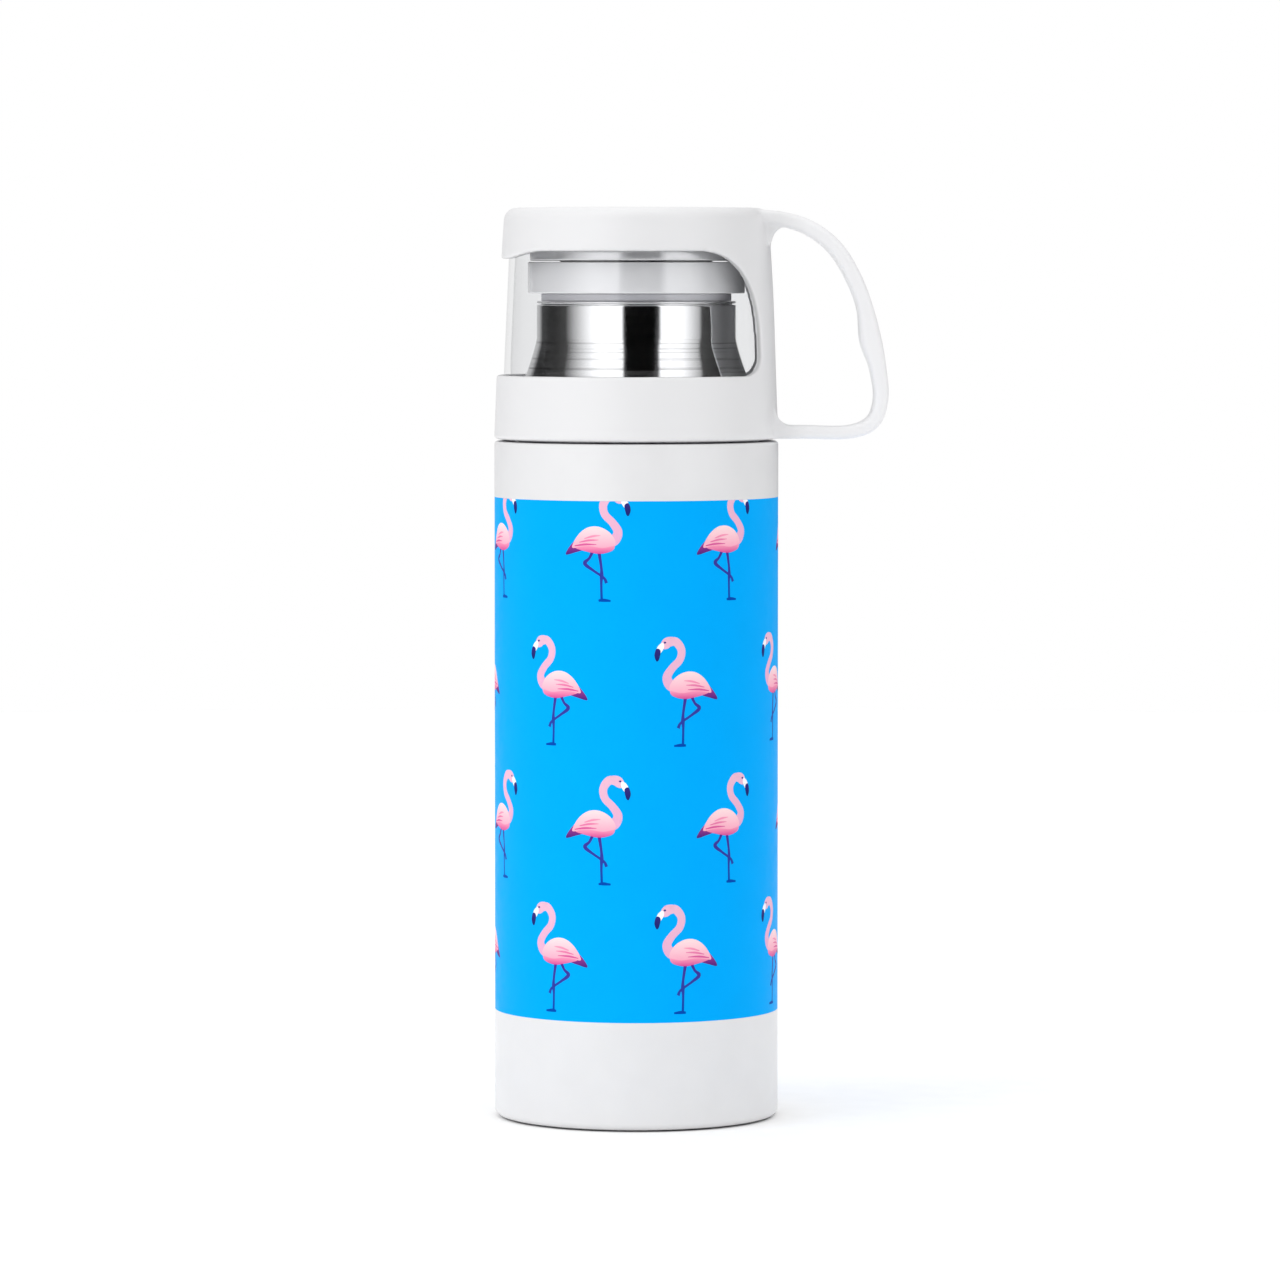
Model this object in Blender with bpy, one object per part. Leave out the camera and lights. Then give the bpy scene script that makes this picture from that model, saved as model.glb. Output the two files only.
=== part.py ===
"""Vacuum flask: double-walled steel bottle, push-button stopper and a mug with a handle as its lid.

The origin is the centre of the face that the flask stands on. Its axis is Z, the mug's handle
points along +X and the front faces -Y. The mug is stored upside down over the stopper.
Sizes are written in millimetres, and MM turns them into Blender's metres.
"""

from math import cos, pi, radians, sin, sqrt

import bmesh
import bpy
from mathutils import Vector

MM = 0.001
GAP = 0.3  # assembly gap between two pieces that touch
OUTER_SEGMENTS = 32  # facets round the body and the mug
INNER_SEGMENTS = 24  # facets round the neck, the vessel and the stopper
SMALL_SEGMENTS = 20  # facets round the small pieces

# Bottle
BODY_R = 35.0
SHELL_WALL = 0.8
SHELL_LOW = 0.4
SHOULDER_Z = 167.0
BASE_ROUND = 1.6
SHOULDER_ROUND = 0.8
WRAP_LOW = 26.7
WRAP_HIGH = 153.3
WRAP_FILM = 0.1
COLLAR_R = 29.1  # root of the thread that the mug screws on
COLLAR_WALL = 0.8
NECK_R = 24.5
NECK_WALL = 0.6
NECK_TOP = 200.5
LIP_TOP = 201.4
VESSEL_R = 31.8
VESSEL_WALL = 0.55
VESSEL_NECK_R = 23.0  # inside, at the root of the stopper's thread
VESSEL_SEAL_R = 22.45  # inside, where the stopper's lower seal works
VESSEL_LOW = 12.5
BASE_DISC_Z = 2.6
DISC_SKIRT = 3.8
AIR_HOLE_R = 1.6
PAD_R = 33.0
PAD_THICK = 1.6
PAD_CHAMFER = 0.8
BASE_DISH = 4.0  # how far the chamber's bottom hangs below its rim
GETTER_R = 5.0
GETTER_X = 14.0
FOIL_R = 32.5
FOIL_THICK = 0.15
FOIL_LOW = 16.0
FOIL_HIGH = 156.0
CONE_TOP = 193.0  # the neck is straight above this height
CONE = [(24.9, 190.8), (25.9, 187.0), (27.2, 183.2), (28.5, 180.4)]
CUP_THREAD_TOP = 178.4
CUP_THREAD_LOW = 169.4
SKIRT_TOP = 168.4  # between the thread and the flange under the shoulder
VESSEL_SHOULDER = [(31.2, 159.5), (29.0, 163.6), (26.2, 167.0), (24.0, 171.0), (23.0, 176.0)]
VESSEL_SHOULDER_LOW = 155.0
SEAL_ZONE_TOP = 184.4
STOPPER_THREAD_LOW = 185.6
STOPPER_THREAD_TOP = 196.6

# Threads: ridge height, rise per turn and rows of facets in one turn
THREAD_DEPTH = 0.6
THREAD_PITCH = 4.0
ROWS_PER_TURN = 3

# Mug, upside down
CUP_LOW = 167.6
CUP_TOP = 224.3
CUP_TOP_ROUND = 3.0
CUP_SIDE = [(34.65, 177.0), (34.3, 187.0), (33.8, 201.7), (33.1, 214.0)]
CUP_FOOT_R = 27.6  # the ring that the mug stands on, round a shallow recess
CUP_FOOT_DEPTH = 0.8
INSERT_SIDE = [(33.1, 169.3), (32.5, 187.0), (31.5, 209.0), (31.2, 216.0)]
INSERT_INSIDE = [(29.4, 218.2), (30.0, 209.0), (31.0, 187.0), (31.0, 181.6)]
INSERT_TOP_R = 28.2
INSERT_TOP = 221.6
INSERT_ROUND = 3.0
INSERT_WALL = 1.7
INSERT_THREAD_R = 30.6
INSERT_THREAD_TOP = 180.4
INSERT_THREAD_LOW = 171.4
CUP_GASKET_BORE = 30.4
CUP_GASKET_R = 33.0
WINDOW_LOW = 183.3
WINDOW_HIGH = 213.5
WINDOW_DIP = 1.8  # the window's top edge is this much lower opposite the handle
WINDOW_DIP_FROM = 15.0  # the dip fades out between these angles, degrees
WINDOW_DIP_TO = 45.0
WINDOW_HALF_ANGLE = 152.5  # each way from the side opposite the handle, degrees
WINDOW_CORNER_ANGLE = 34.5
WINDOW_CORNER_HIGH = 20.0
WINDOW_CORNER_LOW = 5.0
WINDOW_LOW_CORNER_ANGLE = 13.0
WINDOW_CORNER_COLUMNS = 6

# Handle strap: along its middle line, the place (x, z), the thickness and the width
HANDLE_STATIONS = [
    (28.5, 222.3, 3.2, 21.0),
    (35.5, 221.6, 3.6, 19.0),
    (42.6, 219.3, 3.8, 16.5),
    (48.9, 214.4, 3.9, 15.0),
    (53.4, 207.2, 3.9, 14.0),
    (56.2, 199.8, 4.0, 13.6),
    (57.6, 192.0, 5.4, 13.4),
    (59.3, 185.6, 4.2, 13.6),
    (60.2, 177.8, 3.6, 14.0),
    (58.2, 171.7, 3.5, 14.5),
    (52.3, 169.2, 3.2, 15.0),
    (42.0, 169.2, 3.2, 17.0),
    (32.0, 169.2, 3.2, 20.0),
]
HANDLE_ROUND = 0.45  # how far the strap's edges are cut back, as a share of half its thickness

# Stopper
PLUG_LOW = 174.0
PLUG_R = 21.5  # root of the stopper's thread
FLANGE_LOW = 203.3
FLANGE_HIGH = 211.0
FLANGE_R = 26.7
FLANGE_CHAMFER = 0.8
SEAT_R = 8.0
PLUG_CAVITY_R = 19.0
PLUG_FLOOR = 1.8
PLUG_LOWER_R = 21.0
PLUG_CHAMFER = 1.5
GROOVE_R = 19.8
GROOVE_LOW = 176.8
GROOVE_HIGH = 180.2
NECK_SEAL_R = 22.1
NECK_SEAL_ROUND = 0.9
PLUG_THREAD_LOW = 186.0
PLUG_THREAD_TOP = 196.0
STOPPER_GASKET_R = 23.4
CORE_R = 11.0
CORE_TOP = 208.0
CORE_WALL = 1.5
CORE_FLOOR = 189.5
CORE_FLOOR_THICK = 2.0
PORT_HALF = 3.0
PORT_LOW = 179.0
PORT_HIGH = 185.0
FOAM_INSIDE_R = 13.6
FOAM_OUTSIDE_R = 18.7
FOAM_LOW = 176.4
FOAM_HIGH = 205.0
COVER_TOP = 216.0
COVER_R = 26.2
COVER_CHAMFER = 0.6
COVER_SLOPE_LOW = 213.7  # above this height the cover narrows to its top edge
COVER_TOP_R = 24.8
COVER_SKIRT_INSIDE = 17.3
COVER_SKIRT_OUTSIDE = 18.7
COVER_SKIRT_LOW = 206.5
CHANNEL_HALF = 4.5
CHANNEL_FROM = 9.0
CHANNEL_TO = 30.0
CHANNEL_HIGH = 2.2
BUTTON_HOLE_R = 14.0
BUTTON_R = 13.6
BUTTON_TOP = 218.0
BUTTON_LOW = 212.0
SOCKET_TOP = 211.0
PLUNGER_R = 9.0
PLUNGER_LOW = 205.0
STEM_R = 2.2
STEM_LOW = 168.8
STEM_TOP = 210.7
STEM_HOLE_R = 2.6
VALVE_R = 10.4
VALVE_THICK = 2.1
VALVE_CHAMFER = 0.8
NUT_R = 8.0
NUT_THICK = 1.7
SPRING_R = 5.5
SPRING_WIRE_R = 0.45
SPRING_TURNS = 5
SPRING_STEPS = 8  # straight pieces in one turn


def clear_scene():
    for old in list(bpy.data.objects):
        bpy.data.objects.remove(old)


def material(name, colour, roughness, metallic=0.0, alpha=1.0):
    """A Principled material, made once for each name."""
    found = bpy.data.materials.get(name)
    if found:
        return found
    made = bpy.data.materials.new(name)
    made.use_nodes = True
    shader = made.node_tree.nodes["Principled BSDF"]
    shader.inputs["Base Color"].default_value = (*colour, 1.0)
    shader.inputs["Roughness"].default_value = roughness
    shader.inputs["Metallic"].default_value = metallic
    shader.inputs["Alpha"].default_value = alpha
    return made


def white_coat():
    return material("white_coating", (0.86, 0.86, 0.86), 0.35)


def blue_print():
    return material("blue_print", (0.0, 0.45, 1.0), 0.35)


def brushed_steel():
    return material("brushed_steel", (0.62, 0.62, 0.63), 0.28, metallic=1.0)


def copper_foil():
    return material("copper_foil", (0.8, 0.45, 0.3), 0.3, metallic=1.0)


def white_plastic():
    return material("white_plastic", (0.86, 0.86, 0.86), 0.4)


def clear_plastic():
    return material("clear_plastic", (0.95, 0.96, 0.97), 0.05, alpha=0.3)


def grey_plastic():
    return material("stopper_plastic", (0.7, 0.7, 0.7), 0.4)


def silicone():
    return material("silicone", (0.75, 0.76, 0.77), 0.55)


def dark_rubber():
    return material("base_rubber", (0.35, 0.35, 0.36), 0.7)


def foam():
    return material("foam", (0.9, 0.9, 0.88), 0.9)


def axis_empty(name, parent=None):
    """An empty on the flask's axis, which is the axis of every joint."""
    empty = bpy.data.objects.new(name, None)
    empty.empty_display_size = 10 * MM
    empty.parent = parent
    bpy.context.scene.collection.objects.link(empty)
    return empty


def add_object(name, mesh, finish, parent=None):
    made = bpy.data.objects.new(name, mesh)
    made.data.materials.append(finish)
    made.parent = parent
    bpy.context.scene.collection.objects.link(made)
    return made


def mesh_from(name, bm, sharp_degrees=30):
    """The finished mesh, in metres, facing out and shaded smooth apart from its sharp edges."""
    bmesh.ops.recalc_face_normals(bm, faces=bm.faces)
    bmesh.ops.scale(bm, vec=(MM, MM, MM), verts=bm.verts)
    mesh = bpy.data.meshes.new(name)
    bm.to_mesh(mesh)
    bm.free()
    mesh.shade_smooth()
    mesh.set_sharp_from_angle(angle=radians(sharp_degrees))
    return mesh


def arc(centre_r, centre_z, radius, start, end, steps):
    """Points of a profile along an arc, both ends included, angles in degrees from outwards."""
    points = []
    for step in range(steps + 1):
        angle = radians(start + (end - start) * step / steps)
        points.append((centre_r + radius * cos(angle), centre_z + radius * sin(angle)))
    return points


def thread_rows(radius, start, end, depth):
    """Profile points of a threaded wall: radius, height and ridge height. The ends run out."""
    count = round(abs(end - start) / THREAD_PITCH * ROWS_PER_TURN)
    rows = []
    for row in range(count + 1):
        ridge = depth if 0 < row < count else 0.0
        rows.append((radius, start + (end - start) * row / count, ridge))
    return rows


def ring_points(point, segments):
    """One profile point carried round the axis. A ridge climbs by its pitch in one turn."""
    radius, height, ridge = (*point, 0.0)[:3]
    ring = []
    for segment in range(segments):
        angle = 2 * pi * segment / segments
        crest = max(0.0, cos(2 * pi * height / THREAD_PITCH - angle))
        r = radius + ridge * crest
        ring.append(Vector((r * cos(angle), r * sin(angle), height)))
    return ring


def turned_mesh(name, profile, segments):
    """A closed outline turned round Z. An outline that starts and ends on the axis closes there."""
    bm = bmesh.new()
    rings = []
    for point in profile:
        if point[0] == 0:
            rings.append([bm.verts.new((0, 0, point[1]))])
        else:
            rings.append([bm.verts.new(place) for place in ring_points(point, segments)])
    for lower, upper in zip(rings, rings[1:] + rings[:1]):
        if len(lower) == 1 and len(upper) == 1:
            continue
        for a in range(segments):
            b = (a + 1) % segments
            corners = [lower[a % len(lower)], lower[b % len(lower)]]
            corners += [upper[b % len(upper)], upper[a % len(upper)]]
            bm.faces.new(dict.fromkeys(corners))
    return mesh_from(name, bm)


def turned(name, profile, finish, parent=None, segments=INNER_SEGMENTS):
    return add_object(name, turned_mesh(name, profile, segments), finish, parent)


def box_mesh(name, low, high):
    """A box between two corners, in millimetres."""
    bm = bmesh.new()
    bmesh.ops.create_cube(bm, size=1.0)
    for vert in bm.verts:
        for axis in range(3):
            vert.co[axis] = high[axis] if vert.co[axis] > 0 else low[axis]
    return mesh_from(name, bm)


def boolean(target, name, mesh, operation):
    """Joins the target with a helper shape, or cuts it. The helper stays as a hidden guide."""
    helper = bpy.data.objects.new(name, mesh)
    helper.hide_render = True
    helper.display_type = "WIRE"
    bpy.context.scene.collection.objects.link(helper)
    step = target.modifiers.new(name, "BOOLEAN")
    step.object = helper
    step.operation = operation


# ---- bottle ----


def outer_shell(parent):
    """Coated tube with a curled base edge, a shallow seat for the printed film and a shoulder."""
    inside = BODY_R - SHELL_WALL
    seat = BODY_R - WRAP_FILM - GAP
    curl_r = BODY_R - BASE_ROUND
    curl_z = SHELL_LOW + BASE_ROUND
    profile = arc(curl_r, curl_z, BASE_ROUND, -90, 0, 3)
    profile += [(BODY_R, WRAP_LOW - GAP), (seat, WRAP_LOW - GAP)]
    profile += [(seat, WRAP_HIGH + GAP), (BODY_R, WRAP_HIGH + GAP)]
    profile += arc(BODY_R - SHOULDER_ROUND, SHOULDER_Z - SHOULDER_ROUND, SHOULDER_ROUND, 0, 90, 2)
    ledge_r = COLLAR_R + SHELL_WALL + GAP
    profile += [(ledge_r, SHOULDER_Z), (ledge_r, SHOULDER_Z - SHELL_WALL)]
    profile += [(inside, SHOULDER_Z - SHELL_WALL)]
    profile += arc(curl_r, curl_z, BASE_ROUND - SHELL_WALL, 0, -90, 2)
    return turned("outer_shell", profile, white_coat(), parent, OUTER_SEGMENTS)


def printed_wrap(parent):
    """Printed film band round the body, flush with the coating above and below it."""
    inside = BODY_R - WRAP_FILM
    profile = [(inside, WRAP_LOW), (BODY_R, WRAP_LOW), (BODY_R, WRAP_HIGH), (inside, WRAP_HIGH)]
    return turned("printed_wrap", profile, blue_print(), parent, OUTER_SEGMENTS)


def steel_neck(parent):
    """Bare steel neck: a flange under the shoulder, the mug's thread, a cone and a straight neck."""
    skirt_r = COLLAR_R + COLLAR_WALL
    flange_top = SHOULDER_Z - SHELL_WALL - GAP
    flange_low = flange_top - COLLAR_WALL
    flange_r = BODY_R - SHELL_WALL - 0.5
    inside_r = COLLAR_R - COLLAR_WALL
    cone_inside = [(r - 0.75, z - 0.3) for r, z in CONE]
    profile = [(NECK_R - NECK_WALL, NECK_TOP), (NECK_R, NECK_TOP), (NECK_R, CONE_TOP)]
    profile += CONE
    profile += thread_rows(COLLAR_R, CUP_THREAD_TOP, CUP_THREAD_LOW, THREAD_DEPTH)
    profile += [(skirt_r, SKIRT_TOP), (skirt_r, flange_top), (flange_r, flange_top)]
    profile += [(flange_r, flange_low), (COLLAR_R, flange_low), (inside_r, SKIRT_TOP)]
    profile += [(inside_r, CUP_THREAD_TOP)]
    profile += list(reversed(cone_inside))
    profile += [(NECK_R - NECK_WALL, CONE_TOP - 0.2)]
    return turned("steel_neck", profile, brushed_steel(), parent)


def inner_vessel(parent):
    """Drinking chamber: a tube that narrows to the mouth and rolls over at the lip."""
    wall = VESSEL_WALL
    inside = [(r - wall, z - 0.2) for r, z in VESSEL_SHOULDER]
    profile = [(VESSEL_R - wall, VESSEL_LOW), (VESSEL_R - wall, VESSEL_SHOULDER_LOW)]
    profile += inside
    profile += [(VESSEL_SEAL_R, SEAL_ZONE_TOP)]
    profile += thread_rows(VESSEL_NECK_R, STOPPER_THREAD_LOW, STOPPER_THREAD_TOP, -THREAD_DEPTH)
    profile += [(VESSEL_NECK_R, LIP_TOP), (NECK_R, LIP_TOP), (NECK_R, NECK_TOP + GAP)]
    profile += [(VESSEL_NECK_R + wall, NECK_TOP + GAP), (VESSEL_NECK_R + wall, STOPPER_THREAD_LOW)]
    profile += [(VESSEL_SEAL_R + wall, SEAL_ZONE_TOP)]
    profile += list(reversed(VESSEL_SHOULDER))
    profile += [(VESSEL_R, VESSEL_SHOULDER_LOW), (VESSEL_R, VESSEL_LOW)]
    return turned("inner_vessel", profile, brushed_steel(), parent)


def inner_base(parent):
    """Dished disc that closes the bottom of the drinking chamber."""
    rim = VESSEL_LOW - GAP
    low = rim - BASE_DISH
    inside = low + SHELL_WALL
    profile = [(0, inside), (26.0, inside), (30.2, rim - 1.8), (VESSEL_R - VESSEL_WALL, rim)]
    profile += [(VESSEL_R, rim), (30.9, rim - 2.3), (26.5, low), (0, low)]
    return turned("inner_base", profile, brushed_steel(), parent)


def radiation_foil(parent):
    """Copper foil round the chamber, inside the vacuum, which reflects heat."""
    outside = FOIL_R + FOIL_THICK
    profile = [(FOIL_R, FOIL_LOW), (outside, FOIL_LOW), (outside, FOIL_HIGH), (FOIL_R, FOIL_HIGH)]
    return turned("radiation_foil", profile, copper_foil(), parent)


def getter_capsule(parent):
    """Small capsule fixed under the inner base, which keeps the vacuum clean."""
    top = VESSEL_LOW - GAP - BASE_DISH - GAP
    low = top - 2.4
    profile = [(0, low), (GETTER_R - 0.6, low), (GETTER_R, low + 0.6), (GETTER_R, top), (0, top)]
    made = turned("getter_capsule", profile, brushed_steel(), parent, SMALL_SEGMENTS)
    made.location = (GETTER_X * MM, 0, 0)
    return made


def outer_base(parent):
    """Steel disc with a skirt, welded into the shell. Its centre hole is where air is drawn out."""
    rim = BODY_R - SHELL_WALL - GAP
    low = BASE_DISC_Z
    top = low + DISC_SKIRT
    profile = [(AIR_HOLE_R, low), (rim, low), (rim, top), (rim - SHELL_WALL, top)]
    profile += [(rim - SHELL_WALL, low + SHELL_WALL), (AIR_HOLE_R, low + SHELL_WALL)]
    return turned("outer_base", profile, brushed_steel(), parent)


def vacuum_seal_plug(parent):
    """Plug that seals the hole in the outer base."""
    low = PAD_THICK + GAP
    head_top, top = low + 0.4, low + 1.7
    head_r, pin_r = 4.0, AIR_HOLE_R - GAP
    profile = [(0, low), (head_r, low), (head_r, head_top), (pin_r, head_top), (pin_r, top), (0, top)]
    return turned("vacuum_seal_plug", profile, brushed_steel(), parent, SMALL_SEGMENTS)


def base_pad(parent):
    """Disc under the base that the flask stands on, a little lower than the shell's edge."""
    profile = [(0, 0), (PAD_R - PAD_CHAMFER, 0), (PAD_R, PAD_CHAMFER)]
    profile += [(PAD_R, PAD_THICK), (0, PAD_THICK)]
    return turned("base_pad", profile, dark_rubber(), parent, OUTER_SEGMENTS)


# ---- mug ----


def smooth_step(low, high, value):
    """0 below low, 1 above high, and a smooth rise between them."""
    t = min(1.0, max(0.0, (value - low) / (high - low)))
    return t * t * (3 - 2 * t)


def window_top(angle):
    """Height of the window's top edge, at an angle from the side opposite the handle."""
    dip = WINDOW_DIP * (1 - smooth_step(WINDOW_DIP_FROM, WINDOW_DIP_TO, abs(angle)))
    into_corner = abs(angle) - (WINDOW_HALF_ANGLE - WINDOW_CORNER_ANGLE)
    if into_corner <= 0:
        return WINDOW_HIGH - dip
    along = min(1.0, into_corner / WINDOW_CORNER_ANGLE)
    return WINDOW_HIGH - WINDOW_CORNER_HIGH * (1 - sqrt(1 - along * along))


def window_bottom(angle):
    """Height of the window's lower edge, level up to its small corners."""
    into_corner = abs(angle) - (WINDOW_HALF_ANGLE - WINDOW_LOW_CORNER_ANGLE)
    if into_corner <= 0:
        return WINDOW_LOW
    along = min(1.0, into_corner / WINDOW_LOW_CORNER_ANGLE)
    return WINDOW_LOW + WINDOW_CORNER_LOW * (1 - sqrt(1 - along * along))


def window_angles():
    """Angles of the window's columns: even along the front, closer together in the corners."""
    step = 360 / OUTER_SEGMENTS
    last = int((WINDOW_HALF_ANGLE - WINDOW_CORNER_ANGLE) / step)
    level = [step * column for column in range(-last, last + 1)]
    corner = []
    for column in range(1, WINDOW_CORNER_COLUMNS + 1):
        swing = sin(radians(90 * column / WINDOW_CORNER_COLUMNS))
        corner.append(WINDOW_HALF_ANGLE - WINDOW_CORNER_ANGLE * (1 - swing))
    return [-angle for angle in reversed(corner)] + level + corner


def window_mesh():
    """Bent bar that cuts the window through the mug's frame."""
    bm = bmesh.new()
    columns = []
    inside, outside = INSERT_TOP_R - 2, BODY_R + 5
    for angle in window_angles():
        turn = radians(180 + angle)
        low, high = window_bottom(angle), window_top(angle)
        corners = [(inside, low), (outside, low), (outside, high), (inside, high)]
        columns.append([bm.verts.new((r * cos(turn), r * sin(turn), z)) for r, z in corners])
    for here, there in zip(columns, columns[1:]):
        for a in range(4):
            b = (a + 1) % 4
            bm.faces.new((here[a], here[b], there[b], there[a]))
    bm.faces.new(columns[0])
    bm.faces.new(reversed(columns[-1]))
    return mesh_from("window", bm)


def curve_through(points, steps):
    """Smooth curve through every point (Catmull-Rom), with the given steps between two points."""
    ends = [points[0] * 2 - points[1]] + points + [points[-1] * 2 - points[-2]]
    out = []
    for a, b, c, d in zip(ends, ends[1:], ends[2:], ends[3:]):
        for step in range(steps):
            t = step / steps
            near = b * 2 + (c - a) * t + (a * 2 - b * 5 + c * 4 - d) * t * t
            out.append((near + (b * 3 - a - c * 3 + d) * t * t * t) / 2)
    out.append(points[-1])
    return out


def handle_mesh():
    """Strap of the handle, swept along its middle line with its long edges cut back."""
    line = curve_through([Vector(station) for station in HANDLE_STATIONS], 2)
    bm = bmesh.new()
    rings = []
    for index, here in enumerate(line):
        before = line[max(index - 1, 0)]
        after = line[min(index + 1, len(line) - 1)]
        along = Vector((after[0] - before[0], 0, after[1] - before[1])).normalized()
        across = Vector((along.z, 0, -along.x))
        centre = Vector((here[0], 0, here[1]))
        half, side = here[2] / 2, here[3] / 2
        round_off = HANDLE_ROUND * half
        section = [(half, side - round_off), (half - round_off, side)]
        section += [(round_off - half, side), (-half, side - round_off)]
        section += [(-thick, -wide) for thick, wide in section]
        rings.append([bm.verts.new(centre + across * t + Vector((0, w, 0))) for t, w in section])
    for here, there in zip(rings, rings[1:]):
        for a in range(8):
            b = (a + 1) % 8
            bm.faces.new((here[a], here[b], there[b], there[a]))
    bm.faces.new(rings[0])
    bm.faces.new(reversed(rings[-1]))
    return mesh_from("handle", bm)


def cavity_mesh():
    """Room inside the mug's frame: the clear insert's outside and its assembly gap."""
    profile = [(0, CUP_LOW - 5), (INSERT_SIDE[0][0] + GAP, CUP_LOW - 5)]
    profile += [(r + GAP, z) for r, z in INSERT_SIDE]
    profile += arc(INSERT_TOP_R, INSERT_TOP - INSERT_ROUND, INSERT_ROUND + GAP, 0, 90, 2)
    profile += [(0, INSERT_TOP + GAP)]
    return turned_mesh("cavity", profile, OUTER_SEGMENTS)


def cup_frame(parent):
    """White moulding: lower band, wide window, handle column, top band with the base, and handle."""
    recess = CUP_TOP - CUP_FOOT_DEPTH
    profile = [(0, CUP_LOW), (BODY_R - 0.6, CUP_LOW), (BODY_R, CUP_LOW + 0.6)]
    profile += CUP_SIDE
    profile += arc(29.6, CUP_TOP - CUP_TOP_ROUND, CUP_TOP_ROUND, 0, 90, 3)
    profile += [(CUP_FOOT_R, CUP_TOP), (CUP_FOOT_R - 0.6, recess), (0, recess)]
    made = turned("cup_frame", profile, white_plastic(), parent, OUTER_SEGMENTS)
    boolean(made, "handle_shape", handle_mesh(), "UNION")
    boolean(made, "cavity_shape", cavity_mesh(), "DIFFERENCE")
    boolean(made, "window_shape", window_mesh(), "DIFFERENCE")
    return made


def cup_insert(parent):
    """Clear inner cup, open below, with the thread that grips the neck inside its mouth."""
    base_low = INSERT_TOP - INSERT_WALL
    profile = [(INSERT_THREAD_R, INSERT_SIDE[0][1])]
    profile += INSERT_SIDE
    profile += arc(INSERT_TOP_R, INSERT_TOP - INSERT_ROUND, INSERT_ROUND, 0, 90, 2)
    profile += [(0, INSERT_TOP), (0, base_low), (27.6, base_low)]
    profile += INSERT_INSIDE
    profile += thread_rows(INSERT_THREAD_R, INSERT_THREAD_TOP, INSERT_THREAD_LOW, -THREAD_DEPTH)
    return turned("cup_insert", profile, clear_plastic(), parent, OUTER_SEGMENTS)


def cup_gasket(parent):
    """Ring in the mug's mouth, between the clear insert and the bottle's shoulder."""
    low, high = SHOULDER_Z + GAP, INSERT_SIDE[0][1] - GAP
    profile = [(CUP_GASKET_BORE, low), (CUP_GASKET_R, low)]
    profile += [(CUP_GASKET_R, high), (CUP_GASKET_BORE, high)]
    return turned("cup_gasket", profile, silicone(), parent, OUTER_SEGMENTS)


# ---- stopper ----


def stopper_gasket(parent):
    """Ring between the bottle's lip and the stopper's flange."""
    low, high = LIP_TOP + GAP, FLANGE_LOW - GAP
    inside, outside = PLUG_R + GAP, STOPPER_GASKET_R
    profile = [(inside, low), (outside, low), (outside, high), (inside, high)]
    return turned("stopper_gasket", profile, silicone(), parent)


def stopper_body(parent):
    """Hollow threaded plug with a flange, a groove for the lower seal and the valve's seat."""
    chamfer = FLANGE_CHAMFER
    floor = PLUG_LOW + PLUG_FLOOR
    profile = [(SEAT_R, PLUG_LOW), (PLUG_LOWER_R - PLUG_CHAMFER, PLUG_LOW)]
    profile += [(PLUG_LOWER_R, PLUG_LOW + PLUG_CHAMFER), (PLUG_LOWER_R, GROOVE_LOW)]
    profile += [(GROOVE_R, GROOVE_LOW), (GROOVE_R, GROOVE_HIGH), (PLUG_LOWER_R, GROOVE_HIGH)]
    profile += [(PLUG_LOWER_R, PLUG_THREAD_LOW - 0.4)]
    profile += thread_rows(PLUG_R, PLUG_THREAD_LOW, PLUG_THREAD_TOP, THREAD_DEPTH)
    profile += [(PLUG_R, FLANGE_LOW), (FLANGE_R - chamfer, FLANGE_LOW)]
    profile += [(FLANGE_R, FLANGE_LOW + chamfer), (FLANGE_R, FLANGE_HIGH - chamfer)]
    profile += [(FLANGE_R - chamfer, FLANGE_HIGH), (PLUG_CAVITY_R, FLANGE_HIGH)]
    profile += [(PLUG_CAVITY_R, floor), (SEAT_R, floor)]
    return turned("stopper_body", profile, grey_plastic(), parent)


def neck_seal(parent):
    """Soft ring in the plug's groove, which seals against the vessel's neck."""
    low, high = GROOVE_LOW + GAP, GROOVE_HIGH - GAP
    inside, outside, edge = GROOVE_R + GAP, NECK_SEAL_R, NECK_SEAL_ROUND
    profile = [(inside, low), (outside - edge, low), (outside, low + edge)]
    profile += [(outside, high - edge), (outside - edge, high), (inside, high)]
    return turned("neck_seal", profile, silicone(), parent)


def stopper_core(parent):
    """Sleeve that guides the button and holds the spring, with four ports that the drink leaves by."""
    low = PLUG_LOW + PLUG_FLOOR + GAP
    bore = CORE_R - CORE_WALL
    underside = CORE_FLOOR - CORE_FLOOR_THICK
    profile = [(CORE_R, low), (CORE_R, CORE_TOP), (bore, CORE_TOP), (bore, CORE_FLOOR)]
    profile += [(STEM_HOLE_R, CORE_FLOOR), (STEM_HOLE_R, underside), (bore, underside), (bore, low)]
    made = turned("stopper_core", profile, grey_plastic(), parent, SMALL_SEGMENTS)
    half, reach = PORT_HALF, CORE_R + 3
    port_x = box_mesh("port_x", (-reach, -half, PORT_LOW), (reach, half, PORT_HIGH))
    boolean(made, "port_x", port_x, "DIFFERENCE")
    port_y = box_mesh("port_y", (-half, -reach, PORT_LOW), (half, reach, PORT_HIGH))
    boolean(made, "port_y", port_y, "DIFFERENCE")
    return made


def stopper_insulation(parent):
    """Foam ring in the plug. The drink passes between it and the core."""
    profile = [(FOAM_INSIDE_R, FOAM_LOW), (FOAM_OUTSIDE_R, FOAM_LOW)]
    profile += [(FOAM_OUTSIDE_R, FOAM_HIGH), (FOAM_INSIDE_R, FOAM_HIGH)]
    return turned("stopper_insulation", profile, foam(), parent, SMALL_SEGMENTS)


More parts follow.
